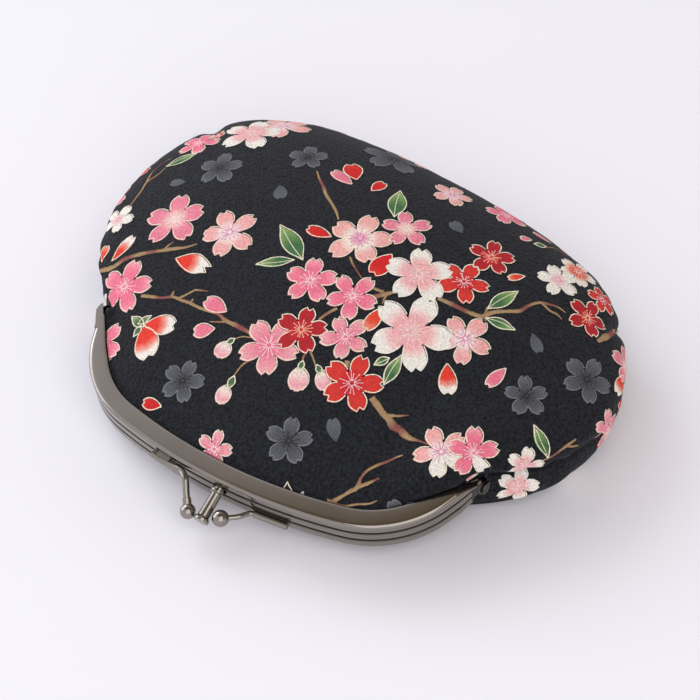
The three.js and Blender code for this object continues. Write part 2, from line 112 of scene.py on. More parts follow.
# the edge's three stretches: an arch, a corner and a leaning side
side_down = np.array([-np.sin(side_lean), -np.cos(side_lean)])
side_inward = np.array([-np.cos(side_lean), np.sin(side_lean)])
edge_end = np.array([frame_width / 2, 0])
arch_centre = np.array([0, arch_radius - frame_depth])
to_corner = edge_end + side_inward * corner_radius - arch_centre
along_side = to_corner @ side_down
reach = np.sqrt(along_side**2 - to_corner @ to_corner + (arch_radius - corner_radius) ** 2)
side_length = -along_side - reach if -along_side - reach > 0 else -along_side + reach
corner_centre = edge_end + side_inward * corner_radius + side_down * side_length
from_arch = corner_centre - arch_centre
arch_angle = np.arctan2(from_arch[1], from_arch[0]) + np.pi / 2
corner_angle = np.pi / 2 - side_lean - arch_angle
arch_length = arch_radius * arch_angle
corner_length = corner_radius * corner_angle
edge_length = arch_length + corner_length + side_length


def frame_edge(along):
    """Point and inward direction on the frame's outer edge, along millimetres from the clasp.

    A circle of the arch's radius, then one of the corner's, then straight on; mirrored to the left.
    """
    s = np.abs(along)
    on_arch = s < arch_length
    angle = np.where(
        on_arch,
        s / arch_radius,
        np.minimum(arch_angle + (s - arch_length) / corner_radius, arch_angle + corner_angle),
    )
    radius = np.where(on_arch, arch_radius, corner_radius)
    straight = np.maximum(s - arch_length - corner_length, 0)
    centre_x = np.where(on_arch, arch_centre[0], corner_centre[0])
    centre_y = np.where(on_arch, arch_centre[1], corner_centre[1])
    x = centre_x + radius * np.sin(angle) - side_down[0] * straight
    y = centre_y - radius * np.cos(angle) - side_down[1] * straight
    side = np.where(along < 0, -1.0, 1.0)
    return side * x, y, -side * np.sin(angle), np.cos(angle)


def from_frame(x, y, z):
    """From the closed frame's own plane to the purse: turned about the hinge line by its slope."""
    x, y, z = np.broadcast_arrays(x, y, z)
    return np.stack(
        [
            x,
            y * np.cos(frame_tilt) - z * np.sin(frame_tilt),
            y * np.sin(frame_tilt) + z * np.cos(frame_tilt),
        ],
        axis=-1,
    )


def smooth_step(value, low, high):
    """0 below low, 1 above high, and 3t^2 - 2t^3 of the share t between them."""
    t = np.clip((value - low) / (high - low), 0, 1)
    return t * t * (3 - 2 * t)


def closed_up(along, z):
    """A height in the frame's plane after the jaws have closed up on the top of the front one: its
    depth below that top is kept along the frame, and shrinks to its share of it near a hinge."""
    top = jaw_pitch + jaw_height / 2
    ends = edge_length - pinch_length, edge_length - ear_start
    return top - (top - z) * (1 - (1 - hinge_pinch) * smooth_step(np.abs(along), *ends))


def lip_at(along):
    """Width of the lip: a quarter sine wave, from its tip at the ear to its full width."""
    share = np.minimum((edge_length - np.abs(along)) / lip_taper, 1)
    return lip_tip + (lip_width - lip_tip) * np.sin(share * np.pi / 2)


def grid_faces(rows, columns, wrap=False):
    """Corner numbers of the quads over a grid of rows by columns; wrap joins its last column to its
    first."""
    across = columns if wrap else columns - 1
    i, j = np.meshgrid(np.arange(rows - 1), np.arange(across), indexing="ij")
    next_j = (j + 1) % columns
    quads = [i * columns + j, i * columns + next_j, (i + 1) * columns + next_j, (i + 1) * columns + j]
    return np.stack(quads, axis=-1).reshape(-1, 4)


class Shell:
    """Points and faces gathered for one mesh, each batch of faces numbered on from the last; each
    point also has a painted shade, from 0 to 1, that makes its plating darker and duller."""

    def __init__(self):
        self.points = []
        self.painted_shade = []
        self.faces = []
        self.count = 0

    def add(self, points, faces, painted_shade=0.0):
        points = np.asarray(points, float).reshape(-1, 3)
        self.points.append(points)
        self.painted_shade.append(np.broadcast_to(painted_shade, len(points)))
        self.faces += (np.asarray(faces) + self.count).tolist()
        self.count += len(points)

    def loft(self, rings, turned=False, painted_shade=0.0):
        """A closed skin over rings of points (rings by points by 3), its two ends capped by a fan
        about each end ring's middle."""
        rings = np.asarray(rings)
        if turned:
            rings = rings[:, ::-1]
        count, around = rings.shape[:2]
        ends = rings[[0, -1]].mean(axis=1)
        points = np.concatenate([rings.reshape(-1, 3), ends])
        start = self.count
        self.add(points, grid_faces(count, around, wrap=True), painted_shade)
        ring = np.arange(around)
        after = (ring + 1) % around
        last = (count - 1) * around
        low = np.stack([after, ring, np.full(around, count * around)], axis=1)
        high = np.stack([last + ring, last + after, np.full(around, count * around + 1)], axis=1)
        self.faces += (start + np.concatenate([low, high])).tolist()

    def mesh(self, name, smooth_below=40):
        """The mesh object: points in metres, faces pointing out, smooth but for its sharp folds."""
        data = bpy.data.meshes.new(name)
        data.from_pydata(in_metres(np.concatenate(self.points)).tolist(), [], self.faces)
        data.validate()
        piece = bpy.data.objects.new(name, data)
        bpy.context.scene.collection.objects.link(piece)
        # the painted shade goes to the finish as a point attribute
        painted_shade = np.concatenate(self.painted_shade)
        if painted_shade.any():
            data.attributes.new("painted_shade", "FLOAT", "POINT").data.foreach_set("value", painted_shade)
        data.polygons.foreach_set("use_smooth", np.ones(len(data.polygons), bool))
        data.set_sharp_from_angle(angle=np.radians(smooth_below))
        return piece


def rounded(corners, arc_steps=5):
    """A section's outline with its corners rounded: each corner (x, y, radius, lip share) becomes an
    arc between the points where a circle of that radius touches its two sides."""
    outline = []
    count = len(corners)
    for i, (x, y, radius, share) in enumerate(corners):
        here = np.array([x, y])
        before = np.array(corners[i - 1][:2]) - here
        after = np.array(corners[(i + 1) % count][:2]) - here
        before, after = before / np.linalg.norm(before), after / np.linalg.norm(after)
        half = np.arccos(np.clip(before @ after, -1, 1)) / 2
        cut = radius / np.tan(half)
        centre = here + (before + after) / np.linalg.norm(before + after) * radius / np.sin(half)
        a, b = here + before * cut - centre, here + after * cut - centre
        for t in np.linspace(0, 1, arc_steps):
            spoke = a * (1 - t) + b * t
            spoke *= radius / np.linalg.norm(spoke)
            outline.append([*(centre + spoke), share])
    return np.array(outline)


def channel(shell, level):
    """A jaw's channel: its section carried along the frame's edge, the lips widening with lip_at.
    The plating is painted darker and duller where two jaws meet, as painted shade in the gaps."""
    high, low = level + jaw_height / 2, level - jaw_height / 2
    edge_round = sheet * 0.48
    inner_round = fold_radius - sheet
    top_round = front_fold_radius if level > 0 else fold_radius
    # x of a lip's end counts from the lip's width (share 1), any other from the edge (share 0)
    section = rounded(
        [
            (0, high, top_round, 0),
            (0, low, fold_radius, 0),
            (lip_width, low, edge_round, 1),
            (lip_width, low + sheet, edge_round, 1),
            (sheet, low + sheet, inner_round, 0),
            (sheet, high - sheet, top_round - sheet, 0),
            (lip_width, high - sheet, edge_round, 1),
            (lip_width, high, edge_round, 1),
        ]
    )
    stations = np.linspace(0, edge_length - ear_start, 90)
    along = np.concatenate([-stations[:0:-1], stations])
    # points are added on each lip so that it crowns between its fold and its end
    order = []
    for i, point in enumerate(section):
        order.append(point)
        following = section[(i + 1) % len(section)]
        if abs(following[0] - point[0]) > 2:
            for t in np.linspace(0, 1, 8)[1:-1]:
                order.append(point * (1 - t) + following * t)
    section = np.array(order)
    x, y, in_x, in_y = frame_edge(along)
    narrower = lip_at(along) - lip_width
    inset = section[:, 0][None] + section[:, 2][None] * narrower[:, None]
    width = lip_at(along)[:, None]
    crown = lip_crown * np.clip(4 * inset * (width - inset) / width**2, 0, 1) * (width / lip_width)
    height = section[:, 1][None] + crown * np.sign(section[:, 1][None] - level)
    height = closed_up(along[:, None], height)
    ring = from_frame(x[:, None] + in_x[:, None] * inset, y[:, None] + in_y[:, None] * inset, height)
    # painted shade: darkest at the level of the gap between two jaws, fading out from 0.25 to 0.8 mm from it
    from_gap = np.abs(np.abs(section[:, 1]) - jaw_pitch / 2)
    in_gap = np.tile(1 - smooth_step(from_gap, 0.25, 0.8), len(along))
    shell.loft(ring, painted_shade=np.append(in_gap, [0, 0]))


def ear(shell, side, level, place):
    """An ear: the web's strip bent into its own upright plane, then narrowing to a round eye.

    Its top and bottom are straight tangents from the web's corners to the eye's circle.
    """
    outer = frame_width / 2 - place * (ear_sheet + jaw_gap)
    x, y = (float(value) for value in frame_edge(edge_length - ear_start)[:2])
    high, low = (closed_up(edge_length, level + half * jaw_height) for half in (0.5, -0.5))

    def tangent(z, sign):
        distance = np.hypot(ear_bend, z)
        angle = np.arctan2(z, -ear_bend) - sign * np.arccos(ear_radius / distance)
        return ear_radius * np.cos(angle), ear_radius * np.sin(angle)

    top_y, top_z = tangent(high, 1)
    low_y, low_z = tangent(low, -1)
    lengthwise = np.concatenate(
        [np.linspace(-ear_bend, ear_radius * 0.9, 16), ear_radius * np.array([0.96, 0.99, 1.0])]
    )
    circle = np.sqrt(np.maximum(ear_radius**2 - lengthwise**2, 0)) + 0.02
    tops = np.where(
        lengthwise < top_y,
        high + (top_z - high) * (lengthwise + ear_bend) / (top_y + ear_bend),
        circle,
    )
    bottoms = np.where(
        lengthwise < low_y,
        low + (low_z - low) * (lengthwise + ear_bend) / (low_y + ear_bend),
        -circle,
    )
    rings = []
    for t in np.linspace(0, 1, 8)[:-1]:
        ease = t * t * (3 - 2 * t)
        face_x = x + (outer - x) * ease
        face_y = y + (-ear_bend - y) * t
        thick = sheet + (ear_sheet - sheet) * t
        rings.append((face_x, face_y, thick, low, high))
    for y_here, bottom, top in zip(lengthwise, bottoms, tops):
        rings.append((outer, y_here, ear_sheet, bottom, top))
    points = []
    for face_x, face_y, thick, bottom, top in rings:
        points.append(
            from_frame(
                side * np.array([face_x - thick, face_x, face_x, face_x - thick]),
                face_y,
                np.array([bottom, bottom, top, top]),
            )
        )
    # the whole ear's plating is painted dark and dull: painted shade at the hinge
    shell.loft(points, turned=side > 0, painted_shade=hinge_painted_shade)


def cubic(t, start, start_slope, end, end_slope):
    """The cubic from start to end that has these slopes there, over t from 0 to 1."""
    return (
        (2 * t**3 - 3 * t**2 + 1) * start
        + (t**3 - 2 * t**2 + t) * start_slope
        + (3 * t**2 - 2 * t**3) * end
        + (t**3 - t**2) * end_slope
    )


def smooth_path(knots, count):
    """A curve through the knots: centripetal Catmull-Rom, each span cubic between two knots."""
    knots = np.asarray(knots, float)
    ends = [2 * knots[0] - knots[1], 2 * knots[-1] - knots[-2]]
    k = np.concatenate([ends[:1], knots, ends[1:]])
    gap = np.maximum(np.linalg.norm(np.diff(k, axis=0), axis=1), 1e-6) ** 0.5
    path = []
    for i in range(1, len(k) - 2):
        m1 = (k[i] - k[i - 1]) / gap[i - 1] - (k[i + 1] - k[i - 1]) / (gap[i - 1] + gap[i])
        m1 = (m1 + (k[i + 1] - k[i]) / gap[i]) * gap[i]
        m2 = (k[i + 1] - k[i]) / gap[i] - (k[i + 2] - k[i]) / (gap[i] + gap[i + 1])
        m2 = (m2 + (k[i + 2] - k[i + 1]) / gap[i + 1]) * gap[i]
        t = np.linspace(0, 1, count, endpoint=i == len(k) - 3)[:, None]
        path.append(cubic(t, k[i], m1, k[i + 1], m2))
    return np.concatenate(path)


# The upper lip's end seen from above, by distance from the hinge's end: the outer side follows the
# ear out and comes back to a point, the inner side runs straight to it.
leaf_outer = [
    (-3.35, -8.4), (-2.75, -7.2), (-2.0, -6.0), (-1.2, -4.8), (-0.5, -3.6), (-0.1, -2.4), (-0.1, -1.3),
    (-0.4, -0.3),
]
leaf_inner = [(-5.7, -7.4), (-0.45, -0.25)]
leaf_lift = 0.06


def lip_point(shell, side, level):
    """The upper lip's end over the ear, a leaf of the lip's sheet between its two sides."""
    outer = smooth_path(leaf_outer, 5)
    t = np.linspace(0, 1, len(outer))[:, None]
    inner = np.array(leaf_inner[0]) * (1 - t) + np.array(leaf_inner[1]) * t
    high = level + jaw_height / 2 + leaf_lift
    rings = [
        from_frame(side * (frame_width / 2 + edge[:, 0]), edge[:, 1], z)
        for edge, z in ((outer, high), (outer, high - sheet), (inner, high - sheet), (inner, high))
    ]
    shell.loft(np.stack(rings, axis=1), turned=side < 0)


def tube(shell, path, radius, sides=20):
    """A round bar along a path: circles at right angles to it, turned as little as possible from
    each to the next, with a small rounding at either cut end."""
    path = np.asarray(path, float)
    way = np.gradient(path, axis=0)
    way /= np.linalg.norm(way, axis=1)[:, None]
    across = np.cross(way[0], [0.3, 0.2, 1.0])
    around = np.linspace(0, 2 * np.pi, sides, endpoint=False)
    circles = []
    for direction in way:
        across = across - direction * (across @ direction)
        across = across / np.linalg.norm(across)
        second = np.cross(direction, across)
        circles.append(np.cos(around)[:, None] * across + np.sin(around)[:, None] * second)
    bevel = 0.12
    rings = [point + circle * radius for point, circle in zip(path, circles)]
    rings[0] = rings[0] + way[0] * bevel
    rings[-1] = rings[-1] - way[-1] * bevel
    start, end = (path[i] + circles[i] * (radius - bevel) for i in (0, -1))
    shell.loft([start, *rings, end])


def turned_piece(shell, profile, foot, axis, sides=40, painted_shade=0.0):
    """A turned piece: its profile of (radius, height) pairs carried round the axis from its foot."""
    axis = np.asarray(axis, float) / np.linalg.norm(axis)
    across = np.cross(axis, [0.2, 0.1, 1.0] if abs(axis[2]) < 0.9 else [1.0, 0, 0])
    across /= np.linalg.norm(across)
    second = np.cross(axis, across)
    around = np.linspace(0, 2 * np.pi, sides, endpoint=False)
    circle = np.cos(around)[:, None] * across + np.sin(around)[:, None] * second
    profile = np.asarray(profile, float)
    rings = [np.asarray(foot) + axis * height + circle * max(radius, 1e-3) for radius, height in profile]
    shell.loft(rings, painted_shade=painted_shade)


def ball_profile(radius, steps=24):
    """Half a circle as a profile: radius times the sine, and minus the cosine, of its angle."""
    angle = np.linspace(0, np.pi, steps)
    return np.stack([radius * np.sin(angle), -radius * np.cos(angle)], axis=1)


class Value:
    """A shader socket that can be used in sums: each operator adds one Math node."""

    def __init__(self, finish, socket):
        self.finish, self.socket = finish, socket

    def math(self, operation, first, second):
        return self.finish.node("ShaderNodeMath", {"operation": operation}, {0: first, 1: second})

    def __add__(self, other):
        return self.math("ADD", self, other)

    def __mul__(self, other):
        return self.math("MULTIPLY", self, other)

    __radd__, __rmul__ = __add__, __mul__


class Finish:
    """A material on its Principled surface, or a world on its background, with one method that adds
    any other node."""

    def __init__(self, name, made="materials", surface="Principled BSDF"):
        self.material = getattr(bpy.data, made).new(name)
        self.material.use_nodes = True
        self.tree = self.material.node_tree
        self.surface = self.tree.nodes[surface]

    def node(self, kind, settings=None, sockets=None, output=0):
        """A new node: its settings first, then the values or links of its sockets."""
        made = self.tree.nodes.new(kind)
        for key, value in (settings or {}).items():
            if key == "stops":
                for element, (place, colour) in zip(made.color_ramp.elements, value):
                    element.position, element.color = place, colour
            else:
                setattr(made, key, value)
        self.fill(made, sockets or {})
        return Value(self, made.outputs[output])

    def fill(self, made, sockets):
        for key, value in sockets.items():
            if isinstance(value, Value):
                self.tree.links.new(value.socket, made.inputs[key])
            else:
                made.inputs[key].default_value = value

    def look(self, **sockets):
        """Sets or links the surface's own sockets, their names written with underscores."""
        self.fill(self.surface, {key.replace("_", " "): value for key, value in sockets.items()})

    def place(self):
        return self.node("ShaderNodeTexCoord", output=3)

    def noise(self, wavelength, detail=2.0, roughness=0.5):
        """Noise that is as coarse as its wavelength in millimetres, from 0 to 1."""
        sockets = {
            "Vector": self.place(), "Scale": 1000 / wavelength,
            "Detail": detail, "Roughness": roughness,
        }
        return self.node("ShaderNodeTexNoise", sockets=sockets)

    def mixed(self, share, first, second):
        """Two colours mixed by a share from 0 to 1."""
        sockets = {0: share, 6: first, 7: second}
        return self.node("ShaderNodeMix", {"data_type": "RGBA"}, sockets, output=2)

    def bump(self, height, strength, distance, normal=None):
        sockets = {"Height": height, "Strength": strength, "Distance": distance / 1000}
        if normal is not None:
            sockets["Normal"] = normal
        return self.node("ShaderNodeBump", sockets=sockets)


def linear(colour):
    """A colour such as 8f857a, as red, green, blue and alpha in linear light."""
    parts = np.array([int(colour[i:i + 2], 16) for i in (0, 2, 4)]) / 255
    low = parts / 12.92
    high = ((parts + 0.055) / 1.055) ** 2.4
    return [*np.where(parts < 0.04045, low, high).tolist(), 1.0]


gunmetal = Finish("gunmetal")
smear = gunmetal.noise(9, 3)
scratch = gunmetal.noise(0.35, 4, 0.7)
# painted shade: where the attribute is 1 the plating is mixed to near black 1b1917 and made rougher, in the
# gaps between the jaws and over the ears and rivets
painted_shade = gunmetal.node("ShaderNodeAttribute", {"attribute_name": "painted_shade"}, output=2)
plating = gunmetal.mixed(smear, linear("8e8880"), linear("999289"))
gunmetal.look(
    Metallic=1.0,
    Base_Color=gunmetal.mixed(painted_shade, plating, linear("1b1917")),
    Roughness=0.1 + 0.07 * smear + 0.2 * painted_shade,
    Normal=gunmetal.bump(scratch, 0.05, 0.01),
)


def dress(piece, finish, slot, *nodes):
    """The piece gets its finish, rides with the purse and stands for its CAD nodes."""
    piece.data.materials.append(finish.material)
    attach(piece, "root")
    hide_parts(*nodes)


for name, level, place in (("front", jaw_pitch, 0), ("middle", 0, 1), ("back", -jaw_pitch, 2)):
    jaw = Shell()
    channel(jaw, level)
    for side in (-1, 1):
        ear(jaw, side, level, place)
        if place == 0:
            lip_point(jaw, side, level)
    dress(jaw.mesh(f"{name}_jaw_channel"), gunmetal, "gunmetal", f"{name}_jaw")


# The rivets: a steel pin through the three ears on either side, with a low domed head outside and a
# flat one inside.
rivet_radius = 0.9
rivet_head_radius = 1.8
rivet_head_height = 0.8
for name, side in (("left", -1), ("right", 1)):
    inside = frame_width / 2 - 3 * ear_sheet - 2 * jaw_gap - clearance
    outside = frame_width / 2 + clearance
    dome = np.linspace(0, np.pi / 2, 9)
    profile = [
        (0, inside - rivet_head_height), (rivet_head_radius - 0.15, inside - rivet_head_height),
        (rivet_head_radius, inside - rivet_head_height + 0.15), (rivet_head_radius, inside),
        (rivet_radius, inside), (rivet_radius, outside), (rivet_head_radius, outside),
        (rivet_head_radius, outside + 0.15),
    ]
    profile += [
        (rivet_head_radius * np.cos(angle), outside + 0.15 + (rivet_head_height - 0.15) * np.sin(angle))
        for angle in dome[1:]
    ]
    rivet = Shell()
    # the rivet's plating is painted dark and dull all over: painted shade at the hinge
    turned_piece(rivet, profile, (0, 0, 0), (side, 0, 0), painted_shade=hinge_painted_shade)
    dress(rivet.mesh(f"{name}_rivet_turned"), gunmetal, "gunmetal", f"{name}_rivet")


# The kiss lock: a turned post riveted to the middle jaw, between two balls on wire arms soldered to
# the outer jaws. All of it is steel with the jaws' plating.
post_length = 9.6
post_root_radius = 1.55
post_cap_radius = 2.15
post_droop = np.radians(12.5)
wire_radius = 0.9
ball_radius = 2.1
collar_radius = 1.15
sheath_radius = 1.05
sheath_length = 9.6
thin_wire_radius = 0.72
right_ball_radius = 2.268
# where each ball stands along the post, as a share of its length
left_share = 0.9
right_share = 0.68
# along the frame's edge from its middle: the left wire's two ends and the sheath's near end
root_far = -21
root_near = -13.5
sheath_start = 10.6
# the left wire leaves the jaw by this much along, out and up
bend_from_root = np.array([4.6, -0.9, 0.5])
stem_depth = 0.4

post_root = np.array([0, -frame_depth, 0])
post_way = np.array([0, -np.cos(post_droop), -np.sin(post_droop)])


def tilted(points):
    """Points of the frame's own plane, turned to the purse."""
    points = np.asarray(points, float)
    return from_frame(points[..., 0], points[..., 1], points[..., 2])


def ball_centre(side, share):
    """A ball's centre beside the post: at this share of its length, touching but for the clearance."""
    radius = post_root_radius + (post_cap_radius - post_root_radius) * share
    sideways = side * (radius + ball_radius + clearance)
    return post_root + post_way * post_length * share + np.array([sideways, 0, 0])


rim = 0.22
base_radius = post_root_radius * 1.35
cap_arc = np.linspace(0, np.pi / 2, 6)
post_profile = [
    (0, -stem_depth), (post_root_radius, -stem_depth), (post_root_radius, 0.25), (base_radius - 0.12, 0.3),
    (base_radius, 0.45), (base_radius, 1.0), (base_radius - 0.15, 1.2),
    (post_root_radius, 1.35), (post_root_radius * 0.97, 1.9),
    (post_cap_radius - 0.5, post_length - 1.5), (post_cap_radius - 0.12, post_length - 1.0),
    (post_cap_radius, post_length - 0.8),
]
post_profile += [
    (post_cap_radius - rim + rim * np.cos(angle), post_length - rim + rim * np.sin(angle))
    for angle in cap_arc
]
post_profile += [(post_cap_radius - 0.5, post_length), (post_cap_radius - 0.6, post_length - 0.06)]
post_profile += [(0.8, post_length - 0.02), (0, post_length)]
post = Shell()
turned_piece(post, post_profile, tilted(post_root), tilted(post_way), sides=56)
dress(post.mesh("clasp_post", 30), gunmetal, "gunmetal", "middle_jaw")


def hug(along, proud, level):
    """A point this far proud of the frame's edge, at a level of its plane."""
    x, y, in_x, in_y = (float(value) for value in frame_edge(along))
    return np.array([x - in_x * proud, y - in_y * proud, level])


left_centre = ball_centre(-1, left_share)
left_proud = wire_radius + clearance
root_level = jaw_pitch - jaw_height / 2 - 0.4
bend = np.array([root_near, -frame_depth - left_proud, root_level]) + bend_from_root
left_knots = [
    hug(root_far, left_proud, root_level), hug((root_far + root_near) / 2, left_proud, root_level),
    hug(root_near, left_proud, root_level + 0.3), hug(root_near + 2.6, left_proud, root_level + 0.6),
    bend, bend * 0.6 + left_centre * 0.4, bend * 0.3 + left_centre * 0.7, left_centre,
]
left_arm = Shell()
tube(left_arm, tilted(smooth_path(left_knots, 8)), wire_radius)
left_way = (left_centre - bend) / np.linalg.norm(left_centre - bend)
collar_profile = [
    (0, -1.4), (collar_radius - 0.1, -1.4), (collar_radius, -1.3), (collar_radius, 0.8),
    (collar_radius - 0.1, 0.9), (0, 0.9),
]
turned_piece(left_arm, collar_profile, tilted(left_centre - left_way * ball_radius), tilted(left_way), 24)
saddle_along = (root_far + root_near) / 2 + np.linspace(-2, 2, 7)
saddle_height = jaw_pitch - jaw_height / 2 + 0.5
saddle_rings = []
for along in saddle_along:
    outer = hug(along, left_proud, 0)
    inner = hug(along, -sheet / 2, 0)
    saddle_rings.append(
        tilted([[*p[:2], saddle_height + z] for p, z in
                ((inner, -0.5), (inner, 0.5), (outer, 0.3), (outer, -0.5))])
    )
left_arm.loft(saddle_rings)
dress(left_arm.mesh("left_arm"), gunmetal, "gunmetal", "front_jaw")

left_ball = Shell()
turned_piece(left_ball, ball_profile(ball_radius), tilted(left_centre), tilted(left_way))
dress(left_ball.mesh("left_ball", 60), gunmetal, "gunmetal", "front_jaw")

right_centre = ball_centre(1, right_share)
sheath_level = -jaw_pitch + 0.3
sheath_proud = sheath_radius - 0.35
sheath_near = hug(sheath_start, sheath_proud, sheath_level)
sheath_far = hug(sheath_start + sheath_length, sheath_proud, sheath_level)
sheath_way = (sheath_near - sheath_far) / np.linalg.norm(sheath_near - sheath_far)
right_arm = Shell()
tube(right_arm, tilted(np.linspace(sheath_near, sheath_far, 8)), sheath_radius)
right_knots = [
    sheath_near - sheath_way * 0.6,
    sheath_near + sheath_way * 0.8 + np.array([0, -0.3, 0.1]),
    [(sheath_near[0] + right_centre[0]) / 2 + 0.4, (sheath_near[1] + right_centre[1]) / 2 - 0.2,
     sheath_level + 1.1],
    right_centre,
]
tube(right_arm, tilted(smooth_path(right_knots, 12)), thin_wire_radius)
dress(right_arm.mesh("right_arm"), gunmetal, "gunmetal", "back_jaw")

right_ball = Shell()
turned_piece(right_ball, ball_profile(right_ball_radius), tilted(right_centre), (0, 0, 1))
dress(right_ball.mesh("right_ball", 60), gunmetal, "gunmetal", "back_jaw")


# The bag's two panels: cotton crepe printed with cherry blossom, glued into the outer jaws'
# channels, gathered at the hinges, darted at the far corners and sewn together round the side.
cloth = 1.4
tuck = 0.5
body_half_width = 79.4
body_centre = 35
hinge_rise = 14
seam_height = 15.5
crown = 21
belly = 22
edge_roll = 1.7
table_roll = 2
overhang = 5
mouth_sweep = 0.4
hinge_detour = 1
hinge_hood = 4
left_hood = 1.2
lip_cover = 3.4
cover_lift = 0.8
stand_walls = 1.2
front_spread = 0.9
back_spread = 0.5

# how far from a hinge, as shares of the side seam, the hood, detour, overhang and rise die away
hood_fade = 0.025
detour_fade = 0.04
overhang_fade = 0.05
rise_fade = 0.06

# where the bulge over the lip sets in and where it ends, as shares of the side seam
cover_from = (0.80, 0.92)
cover_to = (0.97, 1)

# The side seam from above, by angle from the right: reach is a share of body_half_width, and skew
# is added on the right and taken from it on the left, because the bag leans to the left.
SeamRow = namedtuple("SeamRow", "at reach skew")
seam_table = [
    SeamRow(-28, 0.846, 0), SeamRow(-14, 0.945, 0.010), SeamRow(0, 1.000, -0.002),
    SeamRow(18, 1.000, -0.042), SeamRow(34, 0.951, -0.067), SeamRow(46, 0.859, -0.068),
    SeamRow(66, 0.728, -0.033), SeamRow(90, 0.674, 0),
]

# Folds pressed in from outside, one on either side. left, right and width are shares of the side
# seam from its hinge ends, start is the share of the way from mouth to seam, and depth is in walls.
FoldRow = namedtuple("FoldRow", "name left right width start depth")
fold_table = [
    FoldRow("first gather", 0.030, 0.030, 0.007, 0.15, 0.6),
    FoldRow("second gather", 0.055, 0.055, 0.008, 0.25, 0.5),
    FoldRow("third gather", 0.085, 0.085, 0.009, 0.35, 0.35),
    FoldRow("corner dart", 0.260, 0.228, 0.010, 0.55, 1.3),
]


def smooth_through(xs, ys, at):
    """A smooth curve through a table: cubic, with each slope taken from the two neighbours."""
    xs, ys = np.asarray(xs, float), np.asarray(ys, float)
    before = np.maximum(np.arange(len(xs)) - 1, 0)
    after = np.minimum(np.arange(len(xs)) + 1, len(xs) - 1)
    slope = (ys[after] - ys[before]) / (xs[after] - xs[before])
    i = np.clip(np.searchsorted(xs, at, side="right") - 1, 0, len(xs) - 2)
    h = xs[i + 1] - xs[i]
    t = (at - xs[i]) / h
    return cubic(t, ys[i], h * slope[i], ys[i + 1], h * slope[i + 1])


seam_rows = [(row.at, row.reach + row.skew) for row in seam_table]
seam_rows += [(180 - row.at, row.reach - row.skew) for row in reversed(seam_table[:-1])]
seam_angles = np.linspace(180 - seam_table[0].at, seam_table[0].at, 1201)
seam_reach = body_half_width * smooth_through(*zip(*seam_rows), seam_angles)
seam_x = seam_reach * np.cos(np.radians(seam_angles))
seam_y = body_centre + seam_reach * np.sin(np.radians(seam_angles))
seam_share = np.concatenate([[0], np.cumsum(np.hypot(np.diff(seam_x), np.diff(seam_y)))])
seam_length = seam_share[-1]
seam_share = seam_share / seam_length


def hump(v, rise, fall):
    """Powers of v and 1 - v, as a share of their greatest product."""
    peak = rise / (rise + fall)
    return (v / peak) ** rise * ((1 - v) / (1 - peak)) ** fall


def panel_form(face, u, v):
    """The outside of a panel, face 1 in front and -1 behind, without its folds. On the right of the
    front one it bulges up and out over the lip by lip_cover v^0.6 (1-v)^3, as a share of its peak.

    u runs along the side seam from the left hinge to the right, v from the channel's mouth to the
    seam. Seen from above, the cloth follows a quadratic curve from mouth to seam, off the lip at a
    right angle; its height swells by v^0.8 (1-v)^0.9, and near the hinges it hangs over outwards.
    """
    u, v = np.broadcast_arrays(u, v)
    near = np.minimum(u, 1 - u)
    side = np.where(u < 0.5, -1.0, 1.0)
    along = (2 * u - 1) * (edge_length - ear_start)
    x0, y0, in_x, in_y = frame_edge((2 * u - 1) * (edge_length - ear_start - clearance))
    inset = lip_at(along) + tuck
    mouth_level = closed_up(along, face * (jaw_pitch + cloth / 2))
    start = from_frame(x0 + in_x * inset, y0 + in_y * inset, mouth_level)
    end_x = np.interp(u, seam_share, seam_x)
    end_y = np.interp(u, seam_share, seam_y)
    _, _, in_x, in_y = frame_edge(along)
    sweep = mouth_sweep * np.hypot(end_x - start[..., 0], end_y - start[..., 1])
    q = 1 - (1 - v) ** edge_roll
    a, b, c = (1 - q) ** 2, 2 * q * (1 - q), q * q
    bend_x = start[..., 0] + in_x * sweep
    bend_y = start[..., 1] + in_y * sweep + hinge_detour * np.exp(-near / detour_fade)
    fade = near / overhang_fade
    hood = np.where(u < 0.5, left_hood, hinge_hood)
    hood = hood * np.exp(-near / hood_fade) * hump(v, 1, 1) if face > 0 else 0
    over = overhang * fade * np.exp(1 - fade) * hump(v, 2, 1) + hood
    cover = 0
    if face > 0:
        stretch = smooth_step(u, *cover_from) * (1 - smooth_step(u, *cover_to))
        cover = lip_cover * hump(v, 0.6, 3) * stretch
    x = a * start[..., 0] + b * bend_x + c * end_x + side * over - in_x * cover
    y = a * start[..., 1] + b * bend_y + c * end_y - in_y * cover
    seam_level = seam_height - hinge_rise
    seam_z = seam_level * (1 - np.exp(-near / rise_fade)) + face * 0.05
    swell = hump(v, 0.8, 0.9)
    across = np.maximum(np.sin(np.pi * u), 0) ** (front_spread if face > 0 else back_spread)
    stand = stand_walls * cloth * smooth_step(v, 0.1, 0.5) * (1 - v**12)
    height = (crown if face > 0 else belly) * across * swell + stand + hood + cover_lift * cover
    z = start[..., 2] + (seam_z - start[..., 2]) * q + face * height
    return np.stack([x, y, z], axis=-1)


def skin_normal(form, face, u, v):
    """The outward direction of a surface, from two short steps over it."""
    step = 1e-3
    u0, u1 = np.maximum(u - step, 0), np.minimum(u + step, 1)
    v0, v1 = np.maximum(v - step, 0), np.minimum(v + step, 1 - 1e-6)
    across = form(face, u1, v) - form(face, u0, v)
    along = form(face, u, v1) - form(face, u, v0)
    normal = face * np.cross(across, along)
    return normal / np.maximum(np.linalg.norm(normal, axis=-1, keepdims=True), 1e-12)


